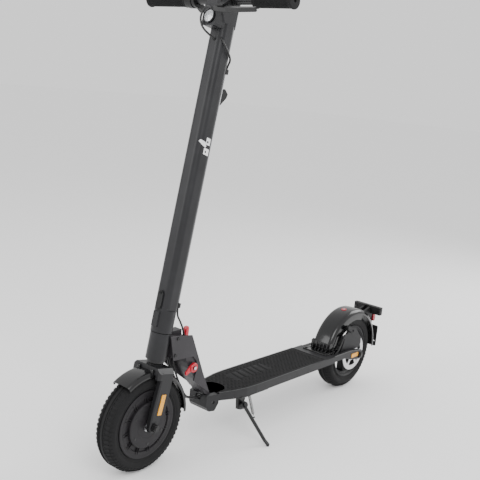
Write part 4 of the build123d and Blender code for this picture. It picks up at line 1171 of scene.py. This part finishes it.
# ---- stem and cockpit ---------------------------------------------------------------------------
@dataclass
class StemDressing(Assembly):
    """Generic mark on the stem, port cover rim and headlight bezel."""

    finishes: Finishes
    flat: float = 10 * MM
    corner: float = 15 * MM
    side: float = 23.0 * MM
    lift: float = 0.25 * MM

    def wrap(self, bm: bmesh.types.BMesh, lift: float) -> None:
        """Wrap a flat mesh of (round the section, 0, along the stem) onto the stem's left side.

        Args:
            bm: the mesh, in place of which the wrapped one is left.
            lift: how far off the surface it sits.
        """
        for vert in bm.verts:
            s, rise, t = vert.co
            turn = min(max(s - self.flat, 0.0) / self.corner, math.pi / 2)
            back = max(-s - self.flat, 0.0) / self.corner
            reach = self.corner + lift + rise
            if s > self.flat:
                vert.co = Vector((self.flat + reach * math.sin(turn),
                                  self.side - self.corner + reach * math.cos(turn), t))
            elif back:
                vert.co = Vector((-self.flat - reach * math.sin(back),
                                  self.side - self.corner + reach * math.cos(back), t))
            else:
                vert.co = Vector((s, self.side + lift + rise, t))
        on_stem(bm)

    def sticker(self, name: str, outlines: Sequence[Sequence[Point]], finish: bpy.types.Material,
                lift: float) -> None:
        """Build thin shapes wrapped on the stem.

        Args:
            name: the piece's name.
            outlines: shapes as (round the section, along the stem), in millimetres.
            finish: its material.
            lift: how far off the surface it sits.
        """
        bm = bmesh.new()
        for outline in outlines:
            own = bmesh.new()
            base = own.faces.new([own.verts.new((s * MM, 0, t * MM)) for s, t in outline])
            pushed_out(own, [base], (0, 0.15 * MM, 0))
            for cut in range(-20, 32, 2):
                bmesh.ops.bisect_plane(own, geom=own.verts[:] + own.edges[:] + own.faces[:], dist=1e-7,
                                       plane_co=(cut * MM, 0, 0), plane_no=(1, 0, 0))
            merge(bm, own)
        self.wrap(bm, lift)
        self.place(name, bm, finish, "clear_lens")

    def build(self) -> None:
        """Build the mark, the port rim and the bezel."""
        upper = [(-12, 703), (2, 705), (2, 722), (-12, 720)]
        lower = [(-13, 678), (5, 681), (5, 696), (-13, 694)]
        leaf = [(-1, 700), (4, 710), (21, 714), (24, 709), (13, 701), (2, 697)]
        self.sticker("stem_mark", [upper, lower, leaf], self.finishes.mark, 0.1 * MM)
        dots = [[(-6, 708), (-1, 709), (-1, 714), (-6, 713)], [(-4, 684), (1, 685), (1, 690), (-4, 689)]]
        self.sticker("stem_mark_dots", dots, self.finishes.smooth_plastic, 0.3 * MM)
        self.port()
        self.headlight()

    def port(self) -> None:
        """Build the raised rim and pull tab of the charging port cover."""
        bm = bmesh.new()
        points = []
        for index in range(48):
            angle = index * math.tau / 48
            y, t = 7.4 * MM * math.cos(angle), 7.4 * MM * math.sin(angle)
            t += 13 * MM if t >= 0 else -13 * MM
            points.append((29.3 * MM, y, 312 * MM + t))
        base = bm.faces.new([bm.verts.new(point) for point in points])
        bmesh.ops.recalc_face_normals(bm, faces=bm.faces)
        bmesh.ops.inset_region(bm, faces=[base], thickness=1.2 * MM, depth=0.5 * MM)
        pushed_out(bm, bm.faces[:], (0.5 * MM, 0, 0))
        tab = bmesh.new()
        add_box(tab, (29.0 * MM, 31.4 * MM), (-3.4 * MM, 3.4 * MM), (326 * MM, 331 * MM), 0.9 * MM)
        merge(bm, tab)
        on_stem(bm)
        self.place("port_cover_rim", bm, self.finishes.grip_rubber, "rubber", body="port_cover")

    def headlight(self) -> None:
        """Build the bezel round the lens, and the domed lens."""
        middle_point = Vector((54, 0, 1001)) * MM
        lean = math.radians(6)
        facing = Vector((math.cos(lean), 0, math.sin(lean)))
        turn = facing.to_track_quat("Y", "Z").to_matrix().to_4x4()
        bezel, lens = bmesh.new(), bmesh.new()
        ring = [(15.1, 0.5), (17.6, 0.5), (18.0, 1.6), (17.6, 3.6), (16.6, 4.4), (15.4, 4.2), (15.0, 3.2)]
        add_turned(bezel, [(r * MM, y * MM) for r, y in ring], Vector((0, 0, 0)), 72)
        dome = [(0.01, -2.0), (14.9, -2.0), (14.9, 2.2), (12.6, 3.2), (9.0, 4.2), (4.6, 4.9), (0.01, 5.1)]
        add_turned(lens, [(r * MM, y * MM) for r, y in dome], Vector((0, 0, 0)), 72)
        for bm in (bezel, lens):
            bmesh.ops.transform(bm, matrix=Matrix.Translation(middle_point) @ turn, verts=bm.verts)
            on_stem(bm)
        self.place("headlight_bezel", bezel, self.finishes.gloss, "gloss_black")
        self.place("headlight_dome", lens, self.finishes.lens, "clear_lens", ["headlight_lens"])


@dataclass
class Cockpit(Assembly):
    """Ribbed grips, display glass and clamp screws on the handlebar."""

    finishes: Finishes
    reach: float = 37 * MM
    height: float = 1044 * MM
    half_bar: float = 232 * MM
    grip_radius: float = 17.4 * MM
    flange_radius: float = 19 * MM
    left_start: float = 120 * MM
    right_start: float = 96 * MM
    ridge_pitch: float = 3.6 * MM

    def build(self) -> None:
        """Build the cockpit's pieces."""
        self.grips()
        self.display()
        self.screws()

    def grip_profile(self, length: float) -> list[Point]:
        """A grip's outside as (radius, distance from its inner end), then the bore."""
        r, flange = self.grip_radius, self.flange_radius
        points = [(11.2 * MM, 0), (flange - 0.8 * MM, 0), (flange, 0.8 * MM), (flange, 4.2 * MM),
                  (flange - 0.8 * MM, 5 * MM), (r, 6 * MM)]
        place = 8 * MM
        while place < length - 12 * MM:
            points += [(r, place), (r - 0.9 * MM, place + 0.7 * MM), (r - 0.9 * MM, place + 1.5 * MM),
                       (r, place + 2.2 * MM)]
            place += self.ridge_pitch
        points += [(r, length - 6.5 * MM), (flange - 0.8 * MM, length - 5.5 * MM), (flange, length - 4.6 * MM),
                   (flange, length - 1.4 * MM), (flange - 1.2 * MM, length), (4 * MM, length),
                   (4 * MM, length - 3.8 * MM), (11.2 * MM, length - 3.8 * MM)]
        return points

    def grips(self) -> None:
        """Build both grips."""
        centre = STEER @ Vector((self.reach, 0, self.height))
        bm = bmesh.new()
        for side, start in ((1, self.left_start), (-1, self.right_start)):
            profile = [(r, side * (start + along)) for r, along in self.grip_profile(self.half_bar - start)]
            add_turned(bm, profile, centre, 72)
        self.place("ribbed_grips", bm, self.finishes.grip_rubber, "rubber", ["grips"], 0.7)

    def display(self) -> None:
        """Build the display's glass, set in its housing."""
        bm = bmesh.new()
        add_box(bm, (6 * MM, 49 * MM), (-20 * MM, 20 * MM), (1077.6 * MM, 1078.5 * MM), 0.4 * MM)
        on_stem(bm)
        self.place("display_glass", bm, self.finishes.gloss, "gloss_black")
        ring = bmesh.new()
        centre = Vector((0, 0, 0))
        add_turned(ring, [(r * MM, y * MM) for r, y in ((6.7, 0), (8.2, 0), (7.8, 0.7), (7.0, 0.7))], centre,
                   48)
        stand = Matrix.Translation(Vector((-4, 0, 1078)) * MM) @ Matrix.Rotation(math.pi / 2, 4, "X")
        bmesh.ops.transform(ring, matrix=stand, verts=ring.verts)
        on_stem(ring)
        self.place("button_ring", ring, self.finishes.red, "red")

    def screws(self) -> None:
        """Build the clamp screws of the brake bracket and throttle."""
        bm = bmesh.new()
        for y in (43 * MM, 57 * MM):
            add_rod(bm, (20 * MM, y, 1040 * MM), (18.4 * MM, y, 1039.6 * MM), 2.6 * MM, 24, 0.4 * MM)
        on_stem(bm)
        self.place("clamp_screws", bm, self.finishes.steel, "steel")


# ---- kickstand ----------------------------------------------------------------------------------
@dataclass
class KickstandSpring(Assembly):
    """Extension spring between the bracket's post and the leg's lug."""

    finishes: Finishes
    start: Vector
    end: Vector
    coil_radius: float = 3.6 * MM
    wire_radius: float = 0.75 * MM
    turns: int = 20
    steps: int = 16

    def build(self) -> None:
        """Build the coil and its two hooks between deck and leg, attached to neither."""
        run = self.end - self.start
        hook = run.normalized() * 5 * MM
        own = bmesh.new()
        ring = bmesh.ops.create_circle(own, segments=8, radius=self.wire_radius, cap_ends=False)["verts"]
        bmesh.ops.rotate(own, verts=ring, cent=(0, 0, 0), matrix=Matrix.Rotation(math.pi / 2, 3, "X"))
        bmesh.ops.translate(own, verts=ring, vec=(self.coil_radius, 0, 0))
        length = run.length - 2 * hook.length
        count = self.turns * self.steps
        bmesh.ops.spin(own, geom=own.verts[:] + own.edges[:], cent=(0, 0, 0), axis=(0, 0, 1),
                       dvec=(0, 0,
                             length / count), angle=math.tau * self.turns, steps=count, use_duplicate=False)
        turn = run.to_track_quat("Z", "Y").to_matrix().to_4x4()
        bmesh.ops.transform(own, matrix=Matrix.Translation(self.start + hook) @ turn, verts=own.verts)
        bm = bmesh.new()
        merge(bm, own)
        add_rod(bm, self.start, self.start + hook * 1.3, self.wire_radius * 1.3, 12, 0.2 * MM)
        add_rod(bm, self.end - hook * 1.3, self.end, self.wire_radius * 1.3, 12, 0.2 * MM)
        piece = self.place("stand_spring", bm, self.finishes.black_steel, "black_steel", ["kickstand_spring"],
                           ride=False)
        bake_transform(piece)


# ---- cables -------------------------------------------------------------------------------------
@dataclass
class Cables:
    """Brake cable from lever to caliper, and the motor harness through the neck."""

    finishes: Finishes
    housing: float = 2.5 * MM
    wire: float = 1.2 * MM
    harness: float = 3.5 * MM

    def fixed(self, name: str, routes: Sequence[tuple[Sequence[Point], float]], body: str,
              finish: bpy.types.Material, replaced: Sequence[str]) -> None:
        """Build cables that ride on one body.

        Args:
            name: the piece's name.
            routes: control points and radius of each run.
            body: the body they ride on.
            finish: their material.
            replaced: CAD nodes they stand for.
        """
        bm = bmesh.new()
        for points, radius in routes:
            merge(bm, tube_mesh(points, radius))
        Assembly(body).place(name, bm, finish, "cable", replaced)

    def bending(self, name: str, points: Sequence[Point], radius: float, between: tuple[str, str],
                replaced: Sequence[str]) -> None:
        """Build a cable that runs between two bodies, attached to neither.

        Args:
            name: the piece's name.
            points: its control points.
            radius: its radius.
            between: the two bodies.
            replaced: CAD nodes it stands for.
        """
        piece = Assembly(between[0]).place(name, tube_mesh(points, radius), self.finishes.sheath, "cable",
                                           replaced,
                                           ride=False)
        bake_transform(piece)

    def build(self) -> None:
        """Build every run."""
        front_loop = [(0.37035, 0.022, 1.13763), (0.36422, 0.008, 1.14366), (0.35947, -0.008, 1.14181),
                      (0.35961, -0.019, 1.1266), (0.36189, -0.019, 1.11076), (0.36091, -0.01, 1.09332),
                      (0.34706, 0.0, 1.07971), (0.32858, 0.004, 1.06934)]
        side_run = [(0.32371, 0.014, 1.07965), (0.32305, 0.0275, 1.06329), (0.30662, 0.0285, 1.04415),
                    (0.29034, 0.025, 1.02706), (0.28553, 0.014, 1.01403), (0.28744, 0.011, 1.00319),
                    (0.28952, 0.011, 0.99138)]
        self.fixed("upper_brake_cable", [(front_loop, self.housing), (side_run, self.housing)], "steering",
                   self.finishes.sheath, ["brake_cable"])
        wire = [(0.38972, 0.011, 0.42314), (0.33962, 0.011, 0.70726), (0.28952, 0.011, 0.99138)]
        self.fixed("inner_wire", [(wire, self.wire)], "steering", self.finishes.steel, [])
        lower = [(0.38972, 0.011, 0.42314), (0.39458, 0.011, 0.39557), (0.379, 0.012, 0.372),
                 (0.367, 0.012, 0.35),
                 (0.361, 0.012, 0.326), (0.361, 0.012, 0.302)]
        self.bending("lower_brake_housing", lower, self.housing, ("neck", "steering"),
                     ["brake_housing_lower"])
        loop = [(0.397, 0.005, 0.298), (0.389, 0.005, 0.268), (0.377, 0.005, 0.236), (0.36, 0.005, 0.203),
                (0.344, 0.005, 0.175), (0.329, 0.005, 0.1555), (0.309, 0.005, 0.1435), (0.283, 0.005, 0.1396),
                (0.253, 0.005, 0.1389), (0.213, 0.005, 0.1386), (0.173, 0.005, 0.1386)]
        self.bending("brake_loop", loop, self.housing, ("deck", "neck"),
                     ["brake_housing_loop"])
        harness = [(0.405, -0.004, 0.298), (0.395, -0.004, 0.268), (0.383, -0.004, 0.238),
                   (0.363, -0.004, 0.205), (0.346, -0.004, 0.176), (0.331, -0.004, 0.156),
                   (0.311, -0.004, 0.1438), (0.285, -0.004, 0.1399), (0.251, -0.004, 0.1394),
                   (0.211, -0.004, 0.1384), (0.169, -0.004, 0.1388)]
        self.bending("motor_harness", harness, self.harness, ("deck", "neck"),
                     ["harness_loop"])
        deck_run = [(0.173, 0.005, 0.1386), (0.145, 0.005, 0.1386), (0.117, 0.022, 0.1366),
                    (0.081, 0.042, 0.1356),
                    (0.031, 0.052, 0.1352), (-0.034, 0.053, 0.1355), (-0.099, 0.0525, 0.135), (-0.164, 0.051,
                                                                                               0.1354),
                    (-0.224, 0.05, 0.1364), (-0.271, 0.049, 0.138), (-0.307, 0.049, 0.142), (-0.329, 0.0495,
                                                                                             0.156),
                    (-0.343, 0.05, 0.176), (-0.351, 0.0505, 0.196)]
        self.fixed("deck_brake_housing", [(deck_run, self.housing)], "deck", self.finishes.sheath,
                   ["brake_housing_deck"])


# ---- CAD nodes ----------------------------------------------------------------------------------
def dress(finishes: Finishes) -> None:
    """Give every CAD node its finish."""
    f = finishes
    looks = {
        f.frame_paint: ("deck_shell", "rear_arms", "front_hinge_block", "fork"),
        f.stem_paint: ("stem_tube", "stem_head", "stem_collar", "head_tube"),
        f.neck_paint: ("neck_core", "neck_plates"),
        f.plastic: ("deck_bottom_cover", "fender_latch_bar", "plate_holder", "cable_clips", "port_cover",
                    "controller"),
        f.smooth_plastic: ("throttle_housing", "throttle_lever", "display", "power_button", "brake_bracket"),
        f.gloss: ("front_fender", "rear_fender"),
        f.mat_rubber: ("deck_mat",),
        f.grip_rubber: ("grips",),
        f.rear_tread: ("rear_tyre",),
        f.front_tread: ("front_tyre",),
        f.cast: ("rear_rim", "brake_caliper", "caliper_arm", "folding_hook"),
        f.cover: ("motor_shell", "motor_covers"),
        f.steel: ("rear_bearings", "front_bearings"),
        f.disc: ("brake_disc",),
        f.black_steel: ("kickstand_bracket", "kickstand_leg", "kickstand_spring", "frame_screws", "neck_screws",
                        "brake_lever", "handlebar", "hinge_pin", "rear_axle", "headset_bearings", "motor_axle"),
        f.red: ("latch_lever", "release_tab"),
        f.amber: ("rear_reflectors", "fork_reflectors"),
        f.red_glass: ("tail_light",),
        f.lens: ("headlight_lens",),
        f.battery: ("battery",),
        f.windings: ("motor_stator",),
        f.sheath: ("brake_cable", "brake_housing_lower", "brake_housing_loop", "harness_loop",
                   "brake_housing_deck"),
    }
    for material, nodes in looks.items():
        for name in nodes:
            frame["nodes"][name].data.materials.clear()
            frame["nodes"][name].data.materials.append(material)
    bare = sorted(set(frame["nodes"]) - {name for nodes in looks.values() for name in nodes})
    LOG.info("CAD nodes dressed, left bare: %s", bare)


# ---- studio -------------------------------------------------------------------------------------
@dataclass
class Studio:
    """Pale floor, soft lights and the camera."""

    place: tuple[float, float, float] = (1.7321, 1.3120, 0.9696)
    yaw: float = -141.01
    pitch: float = -11.93
    roll: float = 5.60
    lens: float = 57.9
    shift: tuple[float, float] = (-0.0222, 0.0208)
    half_floor: float = 30.0

    def camera(self) -> None:
        """Set the camera."""
        yaw, pitch, roll = (math.radians(angle) for angle in (self.yaw, self.pitch, self.roll))
        ahead = Vector((math.cos(yaw) * math.cos(pitch), math.sin(yaw) * math.cos(pitch), math.sin(pitch)))
        right = ahead.cross(Vector((0, 0, 1))).normalized()
        up = right.cross(ahead)
        leaned_right = math.cos(roll) * right + math.sin(roll) * up
        leaned_up = math.cos(roll) * up - math.sin(roll) * right
        data = bpy.data.cameras.new("camera")
        data.lens, data.sensor_width = self.lens, 36.0
        data.shift_x, data.shift_y = self.shift
        data.clip_start, data.clip_end = 0.05, 60.0
        camera = bpy.data.objects.new("camera", data)
        turn = Matrix((leaned_right, leaned_up, -ahead)).transposed().to_4x4()
        camera.matrix_world = Matrix.Translation(Vector(self.place)) @ turn
        bpy.context.scene.collection.objects.link(camera)
        bpy.context.scene.camera = camera

    def light(self, name: str, place: Point, target: Point, size: float, power: float) -> None:
        """Add a soft square light that faces a target."""
        data = bpy.data.lights.new(name, "AREA")
        data.shape, data.size, data.energy = "SQUARE", size, power
        lamp = bpy.data.objects.new(name, data)
        facing = (Vector(target) - Vector(place)).to_track_quat("-Z", "Y").to_matrix().to_4x4()
        lamp.matrix_world = Matrix.Translation(Vector(place)) @ facing
        bpy.context.scene.collection.objects.link(lamp)

    def build(self) -> None:
        """Build the floor, the lights and the surroundings."""
        bm = bmesh.new()
        bmesh.ops.create_grid(bm, x_segments=1, y_segments=1, size=self.half_floor)
        mesh = bpy.data.meshes.new("floor")
        bm.to_mesh(mesh)
        bm.free()
        paint = Shader("floor")
        paint.set(Base_Color=(0.97, 0.97, 0.97, 1.0), Roughness=0.9 + paint.noise(0.4) * 0.1)
        mesh.materials.append(paint.material)
        floor = bpy.data.objects.new("floor", mesh)
        bpy.context.scene.collection.objects.link(floor)
        world = bpy.data.worlds.new("studio")
        world.use_nodes = True
        background = world.node_tree.nodes["Background"]
        background.inputs["Color"].default_value = (1.0, 1.0, 1.0, 1.0)
        background.inputs["Strength"].default_value = 1.15
        bpy.context.scene.world = world
        aim = (0.0, 0.0, 0.5)
        self.light("key", (1.6, 2.4, 2.6), aim, 1.8, 60)
        self.light("rim", (-2.6, 0.6, 1.8), aim, 1.6, 45)
        self.light("front", (2.8, -1.2, 1.6), aim, 1.6, 30)
        self.camera()


def main() -> None:
    """Dress the scooter, build its finer pieces and light it."""
    logging.basicConfig(level=logging.INFO, format="%(message)s")
    finishes = Finishes()
    dress(finishes)
    rear_x = REAR.x
    Tyre("rear_wheel", REAR, "rear_tyre", finishes.rear_tread).build()
    Tyre("front_wheel", FRONT, "front_tyre", finishes.front_tread).build()
    MotorHub("front_wheel", finishes, FRONT).build()
    RearHub("rear_wheel", finishes, REAR).build()
    FrontFender("steering", finishes, FRONT).build()
    RearFender("deck", finishes, REAR).build()
    DeckMat("deck", finishes, rear_x).build()
    NeckLatches("neck", finishes, rear_x).build()
    StemDressing("steering", finishes).build()
    Cockpit("steering", finishes).build()
    KickstandSpring("deck", finishes, Vector((0.112, 0.046, 0.119)), Vector((0.1265, 0.0805, 0.071))).build()
    Cables(finishes).build()
    Studio().build()


if __name__ == "__main__":
    main()
